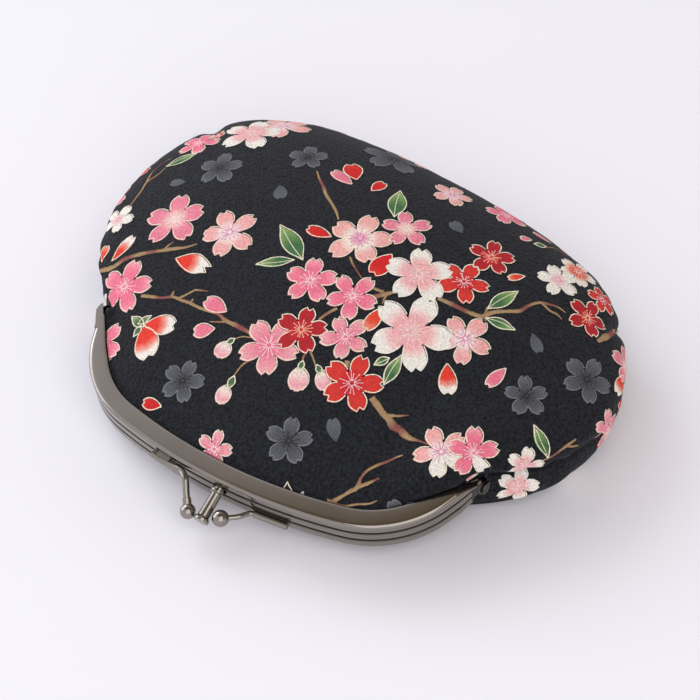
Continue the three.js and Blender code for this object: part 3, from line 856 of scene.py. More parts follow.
# Small unevenness of the real bag, in millimetres: pleats drawn in by the glue at the hinges, the
# puckers of the side seam, and slow waves over the whole cloth.
pleat_pitch = 1.5
pleat_depth = 0.2
pleat_fade = 0.035
pucker_pitch = 7.5
pucker_depth = 0.35
pucker_reach = 5
seam_groove = 0.45
groove_reach = 0.7
wave_depth = 0.4
# about how many millimetres of cloth v spans from mouth to seam at its slope by the side seam
cloth_run = 60


def fold_depth(face, u, v):
    """How far the cloth lies under its plain form: folds as bells across u that deepen along v, and
    the pleats, puckers, groove and waves as sines of the distance along the seam."""
    near = np.minimum(u, 1 - u)
    depth = 0
    for fold in fold_table:
        at = np.where(u < 0.5, fold.left, fold.right)
        across = np.exp(-(((near - at) / fold.width) ** 2))
        depth = depth + cloth * fold.depth * across * smooth_step(v, fold.start, 1)
    run = u * seam_length
    pleat = (1 - np.cos(2 * np.pi * near * seam_length / pleat_pitch)) / 2
    depth = depth + pleat_depth * pleat * np.exp(-near / pleat_fade) * smooth_step(v, 0, 0.2)
    from_seam = (1 - v) * cloth_run
    pucker = np.sin(2 * np.pi * run / pucker_pitch + 1.7 * np.sin(run / 11))
    depth = depth + pucker_depth * (1 + pucker) / 2 * np.exp(-((from_seam / pucker_reach) ** 2))
    depth = depth + seam_groove * np.exp(-((from_seam / groove_reach) ** 2))
    wave = np.sin(run / 17 + 3.1 * v + face) * np.sin(5.3 * v + run / 41) * np.sin(np.pi * v)
    return depth + wave_depth * (1 + wave) / 2 * smooth_step(v, 0, 0.3)


def on_table(z):
    """A height over the table, bent smoothly flat where it would pass below it."""
    over = np.clip(z + table_roll, 0, None)
    return np.where(z >= table_roll, z, over**2 / (4 * table_roll))


def panel_skin(face, u, v):
    """The finished outside of a panel: its folds pressed in, its belly flat on the table."""
    u, v = np.broadcast_arrays(np.asarray(u, float), np.asarray(v, float))
    normal = skin_normal(panel_form, face, u, v)
    flat = np.where((v >= 1)[..., None], normal * [1, 1, 0], normal)
    flat = flat / np.maximum(np.linalg.norm(flat, axis=-1, keepdims=True), 1e-12)
    point = panel_form(face, u, v) - flat * fold_depth(face, u, v)[..., None]
    if face < 0:
        point[..., 2] = on_table(point[..., 2] + hinge_rise) - hinge_rise
    return point


# columns closer together at the hinges, rows closer together at the seam
spread = np.linspace(-1, 1, 461)
panel_u = 0.5 + 0.5 * np.sign(spread) * (1 - (1 - np.abs(spread)) ** 1.35)
panel_v = 1 - (1 - np.linspace(0, 1, 84)) ** 1.45

crepe = Finish("printed_crepe")
speckle = {"Value": crepe.noise(0.8, 3, 0.6), "From Min": 0.38, "From Max": 0.62}
grain = crepe.node("ShaderNodeMapRange", sockets=speckle)
crinkle = crepe.noise(2.2, 2, 0.5)
crepe.look(
    Base_Color=crepe.mixed(grain, linear("010204"), linear("1f2229")),
    Roughness=0.72,
    Sheen_Weight=0.03,
    Sheen_Roughness=0.4,
    Specular_IOR_Level=0.25,
    Normal=crepe.bump(grain, 1.0, 0.3, crepe.bump(crinkle, 0.4, 0.25)),
)

for name, face in (("front", 1), ("back", -1)):
    u, v = np.meshgrid(panel_u, panel_v, indexing="ij")
    outer = panel_skin(face, u, v)
    normal = skin_normal(panel_form, face, u, v)
    upright = from_frame(0, 0, face)
    normal[:, 0] = upright
    normal[:, -1] *= [1, 1, 0]
    normal /= np.linalg.norm(normal, axis=-1, keepdims=True)
    inner = outer - normal * cloth
    x, y, in_x, in_y = frame_edge((2 * panel_u - 1) * (edge_length - ear_start - clearance))
    grip = sheet + clearance
    mouth_level = closed_up((2 * panel_u - 1) * edge_length, face * (jaw_pitch + cloth / 2))
    edge = from_frame(x + in_x * grip, y + in_y * grip, mouth_level)
    outer = np.concatenate([edge[:, None], outer], axis=1)
    inner = np.concatenate([(edge - upright * cloth)[:, None], inner], axis=1)
    section = np.concatenate([outer, inner[:, ::-1]], axis=1)
    panel = Shell()
    panel.loft(section, turned=face > 0)
    dress(panel.mesh(f"{name}_panel_cloth", 60), crepe, "printed_crepe", f"{name}_panel")


# The print: screen-printed cherry blossom, leaves, buds and twigs in opaque inks with thin cream
# outlines, over a fainter grey blossom. It is charted from the photograph: x, y and the tip are its
# pixels, and everything is drawn in real millimetres along the cloth.
CREAM = "f6ead0"

# Colours of a blossom from its middle to its rim, and of its stamens
Ink = namedtuple("Ink", "stops stamen line")
inks = {
    "pink": Ink(
        [(0, "fbdcd0"), (0.3, "f8bdb6"), (0.55, "f090a0"), (0.95, "ee8296"), (1.1, "f39fa9")],
        "fde9da", CREAM,
    ),
    "rose": Ink([(0, "f796a4"), (0.3, "f3788f"), (0.75, "f57f96"), (1.1, "f9a7b0")], "ffe6e2", CREAM),
    "blush": Ink([(0, "ee7288"), (0.35, "ee8396"), (0.7, "f29ba4"), (1.1, "f6b3b3")], "ffe3e4", CREAM),
    "pale": Ink([(0, "fce8e2"), (0.38, "fbe0d8"), (0.6, "f6b6b0"), (1.1, "f3a8a2")], "dd76ad", CREAM),
    "shell": Ink(
        [(0, "f3b3c6"), (0.26, "f6c6cc"), (0.36, "fcefdc"), (0.5, "fae0d2"), (0.68, "f6b6ab"),
         (1.1, "f5b0a8")],
        "dc6f9c", CREAM,
    ),
    "white": Ink(
        [(0, "f7bcc0"), (0.45, "f7b4b2"), (0.62, "f8cfc8"), (0.8, "f8f1e4"), (1.1, "f7f3e6")],
        "fbe8d8", "f7f1e0",
    ),
    "ivory": Ink([(0, "f8d2d2"), (0.3, "f9dcd8"), (0.5, "f8f1e4"), (1.1, "f5f1e2")], "f2a8b4", "f7f1e0"),
    "red": Ink([(0, "e0402f"), (0.3, "cb272a"), (0.6, "b32028"), (1.1, "c1242a")], "ffc9b0", CREAM),
    "scarlet": Ink([(0, "c22233"), (0.25, "d1292c"), (0.7, "df3a30"), (1.1, "d8342d")], "ffd3d3", CREAM),
    "flame": Ink(
        [(0, "e9402f"), (0.4, "ee5a3c"), (0.62, "f6b9a4"), (0.8, "f8efe0"), (1.1, "f7f1e2")],
        "ffe0d0", "f7f1e0",
    ),
    "grey": Ink([(0, "403e3f"), (0.3, "4c4e52"), (0.7, "55575b"), (1.1, "66686c")], "221b18", "7a7c80"),
    "petal red": Ink([(0, "d81c20"), (0.7, "d8221f"), (1.1, "e0402f")], None, CREAM),
    "petal pink": Ink([(0, "f28499"), (0.7, "f0798f"), (1.1, "f6a7b0")], None, CREAM),
    "petal flame": Ink(
        [(0, "e8412c"), (0.5, "ee3b2a"), (0.72, "f4a08c"), (0.85, "f8efe2"), (1.1, "f8f3e8")],
        None, CREAM,
    ),
    "petal orange": Ink([(0, "e8402c"), (0.6, "ee4a2c"), (1.1, "f0a080")], None, CREAM),
    "petal grey": Ink([(0, "55575d"), (1.1, "63666c")], None, None),
    "leaf": Ink([(0, "4d7d4a"), (0.4, "3f6f41"), (0.75, "7ea35c"), (1.1, "b9cf8a")], None, CREAM),
    "dark leaf": Ink([(0, "17191a"), (1.1, "262b26")], None, CREAM),
    "bud": Ink([(0, "dfe4c0"), (0.3, "f8dcd4"), (0.7, "f4a9ae"), (1.1, "f6c3c0")], None, CREAM),
    "calyx": Ink([(0, "56784a"), (0.5, "4a6e44"), (1.1, "c8d6a4")], None, CREAM),
}

# x, y: the middle. tip: the notch of one petal. pale_petals are white, counted from the tip's
# anticlockwise. level: a blossom that lies over another has the higher one.
Blossom = namedtuple("Blossom", "ink x y tip_x tip_y level pale_petals", defaults=[1, ()])
blossoms = [
    Blossom("grey", 219.4, 168.3, 239.0, 164.3, 0), Blossom("grey", 307.3, 157.1, 292.1, 153.6, 0),
    Blossom("grey", 393.4, 158.8, 406.8, 170.9, 0), Blossom("grey", 181.8, 381.6, 184.0, 400.4, 0),
    Blossom("grey", 287.9, 441.8, 309.4, 439.1, 0), Blossom("grey", 525.9, 396.6, 523.7, 379.2, 0),
    Blossom("grey", 586.6, 379.6, 590.2, 401.1, 0), Blossom("grey", 397.5, 511.5, 391.0, 500.0, 0),
    Blossom("pink", 174.2, 219.1, 181.1, 198.2), Blossom("pale", 228.8, 232.9, 203.8, 234.9),
    Blossom("rose", 123.2, 287.4, 147.1, 284.4), Blossom("ivory", 117.0, 219.6, 129.8, 218.6),
    Blossom("rose", 309.1, 280.7, 314.7, 261.3), Blossom("shell", 359.1, 238.4, 366.2, 260.3, 2),
    Blossom("pink", 406.0, 228.6, 426.9, 224.5), Blossom("pale", 452.1, 194.3, 437.0, 196.1),
    Blossom("rose", 506.6, 214.8, 488.3, 209.0), Blossom("red", 491.0, 256.8, 500.8, 272.0),
    Blossom("white", 418.3, 274.2, 420.3, 250.7, 2), Blossom("white", 410.6, 331.8, 415.2, 366.0, 3),
    Blossom("pale", 464.7, 339.0, 462.1, 361.4, 2), Blossom("scarlet", 463.2, 281.3, 464.7, 300.2, 1),
    Blossom("ivory", 558.0, 280.2, 539.3, 275.3, 2), Blossom("flame", 578.0, 271.5, 564.5, 259.5, 1),
    Blossom("red", 588.4, 316.8, 592.9, 334.1, 2), Blossom("scarlet", 602.5, 299.8, 597.0, 288.0, 1),
    Blossom("rose", 351.9, 296.3, 328.5, 300.6, 2), Blossom("red", 300.2, 330.2, 306.9, 350.3, 2),
    Blossom("blush", 268.2, 346.0, 264.8, 371.9), Blossom("blush", 344.3, 337.4, 322.2, 339.3, 1),
    Blossom("scarlet", 351.0, 383.8, 357.2, 409.2, 2),
    Blossom("pale", 440.3, 452.6, 435.2, 476.0, 1, (0, 1)),
    Blossom("rose", 473.0, 454.1, 474.0, 431.6, 2, (3,)),
    Blossom("blush", 213.8, 449.8, 220.1, 433.8), Blossom("white", 525.5, 467.0, 529.1, 450.0),
    Blossom("rose", 103.0, 346.0, 115.5, 353.0, 2),
    Blossom("red", 101.5, 362.0, 110.0, 357.0), Blossom("white", 250.2, 133.0, 227.0, 143.8, 2),
    Blossom("pale", 283.2, 125.9, 305.5, 130.5), Blossom("rose", 198.0, 143.0, 181.0, 152.0),
    Blossom("scarlet", 216.0, 133.5, 223.0, 133.0),
]

# Blossoms that the camera sees only in part or not at all, by share along the seam and from mouth to
# seam; turn is degrees from straight across, and size is in millimetres. faces has 1 for the front
# panel and -1 for the back one, where u is counted from its right hinge.
Unseen = namedtuple("Unseen", "ink u v turn size faces", defaults=[(1, -1)])
unseen_blossoms = [
    Unseen("white", 0.022, 0.85, 10, 5.0, (-1,)), Unseen("blush", 0.885, 0.97, 20, 4.6),
    Unseen("pink", 0.815, 0.95, 50, 5.4), Unseen("rose", 0.665, 0.95, 10, 6.0),
    Unseen("grey", 0.60, 0.93, 40, 5.4), Unseen("scarlet", 0.545, 0.96, 70, 6.2),
    Unseen("pale", 0.49, 0.90, 15, 6.6), Unseen("rose", 0.43, 0.95, 55, 6.0),
    Unseen("grey", 0.385, 0.89, 5, 5.6), Unseen("white", 0.235, 0.95, 30, 5.6),
    Unseen("scarlet", 0.165, 0.94, 60, 5.0), Unseen("pink", 0.125, 0.95, 35, 5.2),
]

# A loose petal, leaf or bud from its base to its notch or tip; width is a share of that length
Loose = namedtuple("Loose", "ink x y tip_x tip_y width level", defaults=[0.6, 1])
loose_pieces = [
    Loose("petal flame", 110.4, 261.4, 130.5, 238.5, 0.40),
    Loose("petal orange", 99.5, 262.0, 104.8, 247.0, 0.6),
    Loose("petal flame", 174.7, 258.9, 204.3, 265.0, 0.62),
    Loose("petal pink", 225.7, 312.4, 206.8, 300.7, 0.62),
    Loose("petal flame", 143.0, 325.5, 173.0, 326.0, 0.60),
    Loose("petal flame", 141.5, 326.5, 150.5, 354.0, 0.72, 2),
    Loose("calyx", 143.0, 328.0, 131.5, 317.0, 0.5, 3), Loose("calyx", 141.0, 326.0, 133.0, 338.0, 0.5, 3),
    Loose("calyx", 137.0, 325.0, 151.0, 317.0, 0.4, 3), Loose("petal red", 330.5, 236.8, 308.5, 228.7, 0.5),
    Loose("petal pink", 351.1, 184.3, 333.6, 172.0, 0.45),
    Loose("petal red", 355.9, 179.8, 350.5, 165.6, 0.75),
    Loose("petal red", 370.6, 191.0, 382.7, 183.6, 0.7),
    Loose("petal grey", 462.9, 232.2, 452.8, 221.5, 0.8, 0),
    Loose("petal orange", 524.4, 276.2, 509.0, 277.8, 0.5),
    Loose("petal orange", 382.5, 307.8, 366.3, 328.2, 0.52, 3),
    Loose("petal red", 391.0, 254.5, 373.5, 272.5, 0.72, 1),
    Loose("petal red", 160.8, 407.2, 144.0, 403.5, 0.62),
    Loose("petal pink", 213.9, 329.4, 194.7, 332.0, 0.8),
    Loose("petal flame", 446.3, 364.0, 447.4, 391.8, 0.6),
    Loose("petal pink", 505.0, 369.0, 488.0, 385.0, 0.5),
    Loose("petal grey", 532.1, 332.8, 539.3, 351.0, 0.6, 0),
    Loose("petal grey", 185.8, 181.9, 171.5, 182.5, 0.65, 0),
    Loose("petal grey", 280.1, 184.8, 280.5, 197.6, 0.75, 0),
    Loose("petal grey", 336.2, 442.2, 332.4, 420.0, 0.62, 0),
    Loose("petal flame", 624.0, 376.0, 617.5, 392.0, 0.6),
    Loose("petal pink", 531.5, 239.8, 521.0, 237.5, 0.7),
    Loose("petal pink", 551.0, 243.0, 534.5, 232.5, 0.35),
    Loose("calyx", 546.0, 246.5, 533.5, 243.5, 0.55, 2),
    Loose("leaf", 301.9, 260.3, 280.0, 225.1, 0.36), Loose("leaf", 293.8, 260.3, 255.0, 264.5, 0.28),
    Loose("leaf", 393.3, 217.3, 399.9, 190.8, 0.42), Loose("leaf", 486.6, 309.0, 517.8, 291.0, 0.36),
    Loose("leaf", 484.6, 318.1, 515.5, 330.0, 0.34), Loose("leaf", 388.8, 358.5, 373.0, 365.2, 0.5),
    Loose("leaf", 382.5, 386.0, 401.0, 355.0, 0.34), Loose("leaf", 547.5, 459.0, 536.6, 426.0, 0.34),
    Loose("leaf", 165.2, 167.1, 197.0, 153.0, 0.34), Loose("dark leaf", 287.6, 508.0, 287.1, 482.0, 0.42),
    Loose("dark leaf", 297.0, 508.0, 302.5, 492.0, 0.42),
    Loose("bud", 479.0, 474.5, 466.0, 480.5, 0.5),
    Loose("bud", 300.0, 367.0, 296.0, 391.0, 0.8), Loose("bud", 319.5, 370.0, 324.5, 390.5, 0.65),
    Loose("bud", 228.0, 342.5, 217.5, 357.5, 0.95), Loose("bud", 226.5, 386.0, 219.5, 404.0, 0.8),
    Loose("calyx", 302.2, 361.3, 298.3, 371.0, 0.55, 2), Loose("calyx", 315.6, 365.2, 320.5, 375.0, 0.5, 2),
    Loose("calyx", 234.0, 339.4, 225.5, 345.0, 0.6, 2), Loose("calyx", 233.6, 376.5, 227.5, 390.0, 0.5, 2),
]

# A twig through its knots: pixels, and the width in millimetres there
Knot = namedtuple("Knot", "x y width")
twigs = [[Knot(*knot) for knot in twig] for twig in (
    [(98.5, 275.5, 1.5), (110.4, 267.6, 1.7), (122.7, 259.4, 1.6), (133.9, 255.3, 1.5),
     (147.1, 252.2, 1.4), (160.4, 250.2, 1.2), (174.7, 248.2, 1.3), (184.9, 247.1, 0.8),
     (197.1, 243.6, 0.35)],
    [(163.5, 249.5, 0.9), (167.5, 245.5, 0.6), (173.7, 241.0, 0.25)],
    [(141.0, 295.6, 1.1), (151.2, 296.6, 1.1), (161.4, 297.7, 0.9), (171.6, 296.6, 0.9),
     (181.8, 300.2, 0.9), (191.0, 303.3, 1.0), (200.2, 307.9, 0.9), (209.0, 311.0, 0.8),
     (217.6, 313.4, 0.9), (225.7, 320.6, 1.1), (234.9, 324.7, 1.4), (243.0, 329.0, 1.3),
     (252.0, 334.0, 0.9)],
    [(171.0, 297.0, 0.9), (173.9, 290.5, 0.5)],
    [(178.8, 298.0, 0.9), (187.0, 294.0, 0.7), (207.3, 291.0, 0.5)],
    [(209.4, 321.6, 0.3), (218.6, 321.8, 0.5), (227.5, 321.5, 0.7)],
    [(190.5, 302.5, 0.9), (193.0, 298.5, 0.4)],
    [(316.9, 170.5, 0.4), (319.5, 178.5, 0.7), (323.4, 186.2, 1.1), (326.0, 194.0, 1.0),
     (331.5, 202.6, 0.9), (335.6, 209.8, 0.8), (338.5, 219.0, 0.5)],
    [(349.9, 256.5, 0.6), (353.0, 264.0, 0.6), (361.5, 277.5, 0.3)],
    [(367.0, 299.0, 1.3), (377.3, 295.8, 1.5), (384.0, 294.2, 1.3), (396.0, 291.5, 0.9)],
    [(388.0, 293.5, 0.7), (384.5, 298.0, 0.6), (382.5, 303.5, 0.3)],
    [(373.5, 288.0, 0.9), (384.0, 292.0, 1.0)],
    [(438.0, 297.5, 1.2), (451.4, 303.3, 1.5), (461.6, 308.4, 1.3), (471.8, 313.0, 1.3),
     (482.0, 316.0, 1.4), (487.1, 314.0, 1.4), (495.3, 311.6, 1.3), (507.6, 311.0, 1.1),
     (519.8, 310.6, 1.2), (528.0, 305.8, 1.0), (539.2, 302.4, 0.9), (550.0, 304.3, 0.8),
     (558.0, 307.0, 0.6), (566.0, 312.3, 0.3)],
    [(542.5, 303.5, 0.8), (550.0, 310.5, 0.7), (557.1, 314.1, 0.6), (562.5, 319.0, 0.3)],
    [(485.0, 315.0, 0.8), (487.5, 306.5, 0.5)],
    [(483.5, 315.0, 0.7), (486.0, 321.0, 0.4)],
    [(371.5, 397.5, 1.8), (378.2, 406.3, 1.8), (384.5, 415.0, 1.7), (389.5, 420.0, 1.9),
     (394.0, 426.5, 2.4), (400.0, 430.0, 1.9), (405.5, 435.5, 1.8), (410.5, 438.5, 1.4),
     (417.5, 440.5, 0.8), (428.0, 444.3, 0.35)],
    [(388.5, 415.5, 1.0), (397.9, 415.9, 0.6), (409.0, 415.5, 0.3)],
    [(326.0, 510.0, 1.6), (331.5, 502.0, 1.3), (341.6, 496.6, 0.9), (350.0, 491.5, 1.0),
     (357.5, 487.0, 1.2), (360.4, 479.1, 0.8), (365.7, 472.0, 0.7), (376.4, 465.7, 0.7),
     (388.0, 461.3, 0.7), (402.8, 455.2, 0.35)],
    [(358.0, 487.0, 1.2), (367.5, 483.6, 0.9), (379.3, 478.2, 0.5)],
    [(330.0, 504.0, 0.8), (346.0, 505.9, 0.6), (356.8, 504.3, 0.6), (370.2, 503.4, 0.5),
     (377.3, 500.6, 0.3)],
    [(302.2, 362.0, 0.45), (303.4, 356.6, 0.5), (307.0, 350.5, 0.5)],
    [(315.6, 366.0, 0.45), (313.2, 358.5, 0.5), (309.5, 349.8, 0.6)],
    [(233.6, 339.4, 0.4), (241.6, 336.7, 0.4), (251.0, 337.4, 0.4)],
    [(233.6, 376.0, 0.4), (241.6, 365.6, 0.5), (248.5, 361.0, 0.6), (256.0, 358.0, 0.7)],
    [(318.5, 319.5, 0.8), (326.6, 313.3, 0.9), (337.0, 307.8, 0.9)],
    [(347.5, 360.5, 1.4), (346.5, 367.0, 1.2)],
    [(128.2, 207.3, 0.5), (136.2, 196.6, 0.6), (141.6, 189.5, 0.7), (146.0, 182.5, 0.8),
     (158.5, 173.8, 0.5), (165.5, 167.4, 0.3)],
    [(146.0, 182.3, 0.8), (152.3, 171.8, 0.5), (162.1, 163.5, 0.4), (171.0, 158.0, 0.3)],
    [(546.0, 247.3, 0.3), (557.1, 248.6, 0.4), (567.5, 255.8, 0.3)],
    [(598.0, 341.0, 1.0), (605.0, 337.0, 1.9), (611.5, 333.5, 1.7), (618.5, 328.5, 1.1),
     (623.0, 327.0, 0.5)],
    [(542.9, 461.2, 0.5), (550.0, 458.0, 0.6), (560.0, 450.8, 0.5), (569.6, 444.2, 0.8),
     (576.8, 439.0, 0.4)],
    [(567.0, 446.0, 0.6), (572.5, 446.6, 0.7), (580.0, 446.2, 0.3)],
    [(624.5, 374.5, 0.4), (627.0, 366.0, 0.3)],
)]


def project(points):
    """Pixels of points in the photograph: the distance across over the distance ahead, times the
    camera's focal length in pixels."""
    right, up, back = np.array(camera_frame).T
    from_camera = points - camera_from_hinge
    ahead = -(from_camera @ back)[..., None]
    aside = np.stack([from_camera @ right, -(from_camera @ up)], axis=-1)
    return photo_width / 2 + focal_pixels * aside / ahead


def cloth_under(pixels):
    """The u and v of the front panel seen at each pixel: the nearest of a grid of points that face
    the camera, then five steps of Newton's method on their projection."""
    pixels = np.asarray(pixels, float)
    grid_u, grid_v = np.meshgrid(np.linspace(0.01, 0.99, 240), np.linspace(0.005, 0.98, 110))
    grid_u, grid_v = grid_u.ravel(), grid_v.ravel()
    points = panel_form(1, grid_u, grid_v)
    facing = (skin_normal(panel_form, 1, grid_u, grid_v) * (camera_from_hinge - points)).sum(axis=1)
    seen = project(points)
    away = np.linalg.norm(pixels[:, None] - seen[None], axis=-1) + np.where(facing > 0, 0, 1e3)
    nearest = away.argmin(axis=1)
    u, v = grid_u[nearest], grid_v[nearest]
    step = 1e-4
    for _ in range(5):
        here = project(panel_form(1, u, v))
        by_u = (project(panel_form(1, u + step, v)) - here) / step
        by_v = (project(panel_form(1, u, v + step)) - here) / step
        miss = pixels - here
        area = by_u[:, 0] * by_v[:, 1] - by_u[:, 1] * by_v[:, 0]
        area = np.where(np.abs(area) < 1e3, np.copysign(1e3, area), area)
        move_u = (miss[:, 0] * by_v[:, 1] - miss[:, 1] * by_v[:, 0]) / area
        move_v = (by_u[:, 0] * miss[:, 1] - by_u[:, 1] * miss[:, 0]) / area
        u = np.clip(u + np.clip(move_u, -0.02, 0.02), 0.002, 0.998)
        v = np.clip(v + np.clip(move_v, -0.03, 0.03), 0.0, 0.998)
    return u, v


def cloth_axes(face, u, v):
    """Unit vectors across the cloth (the way of u), up it (the way of v) and out of it."""
    step = 1e-3
    normal = skin_normal(panel_form, face, u, v)
    across = panel_form(face, np.minimum(u + step, 1), v) - panel_form(face, np.maximum(u - step, 0), v)
    across /= np.linalg.norm(across, axis=-1, keepdims=True)
    return across, face * np.cross(normal, across), normal


def walk(face, u, v, offset, steps=6):
    """Where a straight walk over the cloth ends that starts at u, v and goes on by offset, in mm.

    Each short step takes the change of u and v whose move is nearest to it, by least squares, and
    then lays the rest of the way into the surface again.
    """
    length = np.linalg.norm(offset, axis=-1)
    way = offset / np.maximum(length, 1e-9)[:, None]
    h = 1e-3
    for _ in range(steps):
        u0, u1 = np.maximum(u - h, 0), np.minimum(u + h, 1)
        v0, v1 = np.maximum(v - h, 0), np.minimum(v + h, 1 - 1e-5)
        by_u = (panel_form(face, u1, v) - panel_form(face, u0, v)) / (u1 - u0)[:, None]
        by_v = (panel_form(face, u, v1) - panel_form(face, u, v0)) / (v1 - v0)[:, None]
        normal = np.cross(by_u, by_v)
        normal /= np.maximum(np.linalg.norm(normal, axis=1), 1e-9)[:, None]
        way = way - normal * (way * normal).sum(axis=1)[:, None]
        way /= np.maximum(np.linalg.norm(way, axis=1), 1e-9)[:, None]
        uu, vv, uv = (by_u**2).sum(1), (by_v**2).sum(1), (by_u * by_v).sum(1)
        a, b = (way * by_u).sum(1), (way * by_v).sum(1)
        area = np.maximum(uu * vv - uv * uv, 1e-9)
        u = np.clip(u + length / steps * (vv * a - uv * b) / area, 0, 1)
        v = np.clip(v + length / steps * (uu * b - uv * a) / area, 0, 1)
    return u, v


luck = np.random.default_rng(7)
line_width = 0.3
line_shift = 0.34 * np.array([0.25, 0.97, 0])
print_lift = 0.06
level_lift = 0.03
line_lift = 0.012
petal_lift = 0.002
stamen_lift = 0.018
stamen_widths = (0.24, 0.17, 0.14)
anther_radius = 0.19
rib_width = 0.2
fill_shares = (0, 0.3, 0.6, 0.85, 1)
twig_tan = np.array(linear("ab8c64")[:3])
twig_red = np.array(linear("8c504b")[:3])

petal_half = np.concatenate([
    smooth_path([(-0.05, 0.0), (0.14, 0.12), (0.30, 0.235), (0.45, 0.285), (0.62, 0.335), (0.80, 0.345),
                 (0.94, 0.29), (1.03, 0.22)], 3)[:-1],
    [(1.03, 0.22), (1.12, 0.13), (1.04, 0.06), (0.98, 0.0)],
])
loose_half = np.concatenate([
    smooth_path([(0.0, 0.0), (0.12, 0.15), (0.3, 0.33), (0.5, 0.46), (0.7, 0.5), (0.88, 0.44),
                 (1.0, 0.34)], 3)[:-1],
    [(1.0, 0.34), (1.09, 0.2), (1.04, 0.09), (1.0, 0.0)],
])
leaf_half = smooth_path([(0.0, 0.0), (0.12, 0.16), (0.3, 0.42), (0.5, 0.5), (0.7, 0.38), (0.88, 0.14),
                         (1.0, 0.0)], 4)
bud_half = np.concatenate([
    smooth_path([(0.0, 0.05), (0.12, 0.24), (0.35, 0.46), (0.62, 0.5), (0.82, 0.42)], 4)[:-1],
    [(0.82, 0.42), (0.97, 0.27), (0.93, 0.17), (1.03, 0.08), (1.0, 0.0)],
])


def tinted(stops, at):
    """Linear colours at these places of an ink's stops."""
    places = [place for place, _ in stops]
    colours = np.array([linear(colour)[:3] for _, colour in stops])
    return np.stack([np.interp(at, places, colours[:, i]) for i in range(3)], axis=-1)


class Print:
    """Ink on one panel: the u, v where each shape starts, each point's offset from there in mm, its
    colour and its height over the cloth."""

    def __init__(self, face):
        self.face = face
        self.parts = []
        self.faces = []
        self.count = 0

    def add(self, u, v, offset, colour, lift, faces):
        n = len(offset)
        spread = [np.broadcast_to(value, n) for value in (u, v, lift)]
        self.parts.append((*spread, offset, np.broadcast_to(colour, (n, 3))))
        self.faces.append(np.asarray(faces) + self.count)
        self.count += n

    def stroke(self, spot, points, widths, colour, lift):
        """A strip of ink along 2-D points of a motif, its two sides half a width off them."""
        way = np.gradient(points, axis=0)
        way /= np.maximum(np.linalg.norm(way, axis=1), 1e-9)[:, None]
        side = np.stack([-way[:, 1], way[:, 0]], axis=1) * np.broadcast_to(widths, len(points))[:, None] / 2
        ribbon = np.stack([points + side, points - side], axis=1).reshape(-1, 2)
        i = np.arange(len(points) - 1) * 2
        quads = np.stack([i, i + 1, i + 3, i + 2], axis=1)
        self.add(*spot.at, spot.spread(ribbon) + line_shift, colour, lift, quads)

    def outlined(self, spot, half, colours, ink, lift, from_share=0.0):
        """A shape symmetric about the motif's axis: its fill in rings from the axis out to its
        outline, then its cream line, printed a little off towards the upper right."""
        half = np.asarray(half)
        outline = np.concatenate([half, half[-2:0:-1] * [1, -1]])
        axis = np.stack([np.clip(outline[:, 0], 0.04, 0.9 * outline[:, 0].max()), 0 * outline[:, 1]], axis=1)
        points = np.concatenate([axis + (outline - axis) * share for share in fill_shares])
        shares = np.repeat(fill_shares, len(outline))
        quads = grid_faces(len(fill_shares), len(outline), wrap=True)
        self.add(*spot.at, spot.spread(points * spot.size), colours(points, shares), lift, quads)
        if ink.line:
            start = np.searchsorted(half[:, 0][: half[:, 0].argmax()], from_share)
            edge = np.concatenate([half[start:], half[start:-1][::-1] * [1, -1]])
            widths = line_width * luck.uniform(0.75, 1.25, len(edge))
            self.stroke(spot, edge * spot.size, widths, linear(ink.line)[:3], lift + line_lift)

    def mesh(self, name):
        """All of it as one mesh: every point walked over the cloth to its place, then lifted, and
        every face turned outwards."""
        u, v, lift, offset, colour = (np.concatenate(part) for part in zip(*self.parts))
        u, v = walk(self.face, u, v, offset)
        normal = skin_normal(panel_form, self.face, u, v)
        points = panel_skin(self.face, u, v) + normal * lift[:, None]
        faces = np.concatenate(self.faces)
        corner = points[faces]
        facing = np.cross(corner[:, 2] - corner[:, 0], corner[:, 3] - corner[:, 1])
        inward = (facing * normal[faces[:, 0]]).sum(axis=1) < 0
        faces[inward] = faces[inward][:, ::-1]
        inside = ((v > 0) & (v < 1) & (u > 0) & (u < 1))[faces].any(axis=1)
        data = bpy.data.meshes.new(name)
        data.from_pydata(in_metres(points).tolist(), [], faces[inside].tolist())
        layer = data.color_attributes.new("ink", "FLOAT_COLOR", "POINT")
        layer.data.foreach_set("color", np.concatenate([colour, np.ones((len(colour), 1))], axis=1).ravel())
        data.polygons.foreach_set("use_smooth", np.ones(len(data.polygons), bool))
        piece = bpy.data.objects.new(name, data)
        bpy.context.scene.collection.objects.link(piece)
        return piece


class Spot:
    """A motif's place on a panel: its start, its axis as shares across and up the cloth, its size in
    mm, and how far beyond the cloth's edge it truly starts, across and up, in mm. On the back panel
    it stands where it would, seen from outside, on the front."""

    def __init__(self, face, u, v, across, up, size, beyond=(0, 0)):
        self.at = (u, v) if face > 0 else (1 - u, v)
        across_way, up_way, normal = cloth_axes(face, *(np.array([value]) for value in self.at))
        self.axis = (face * across * across_way + up * up_way)[0]
        self.left = np.cross(normal[0], self.axis)
        self.size = size
        self.beyond = (face * beyond[0] * across_way + beyond[1] * up_way)[0]

    def spread(self, points):
        return points[:, :1] * self.axis + points[:, 1:] * self.left + self.beyond


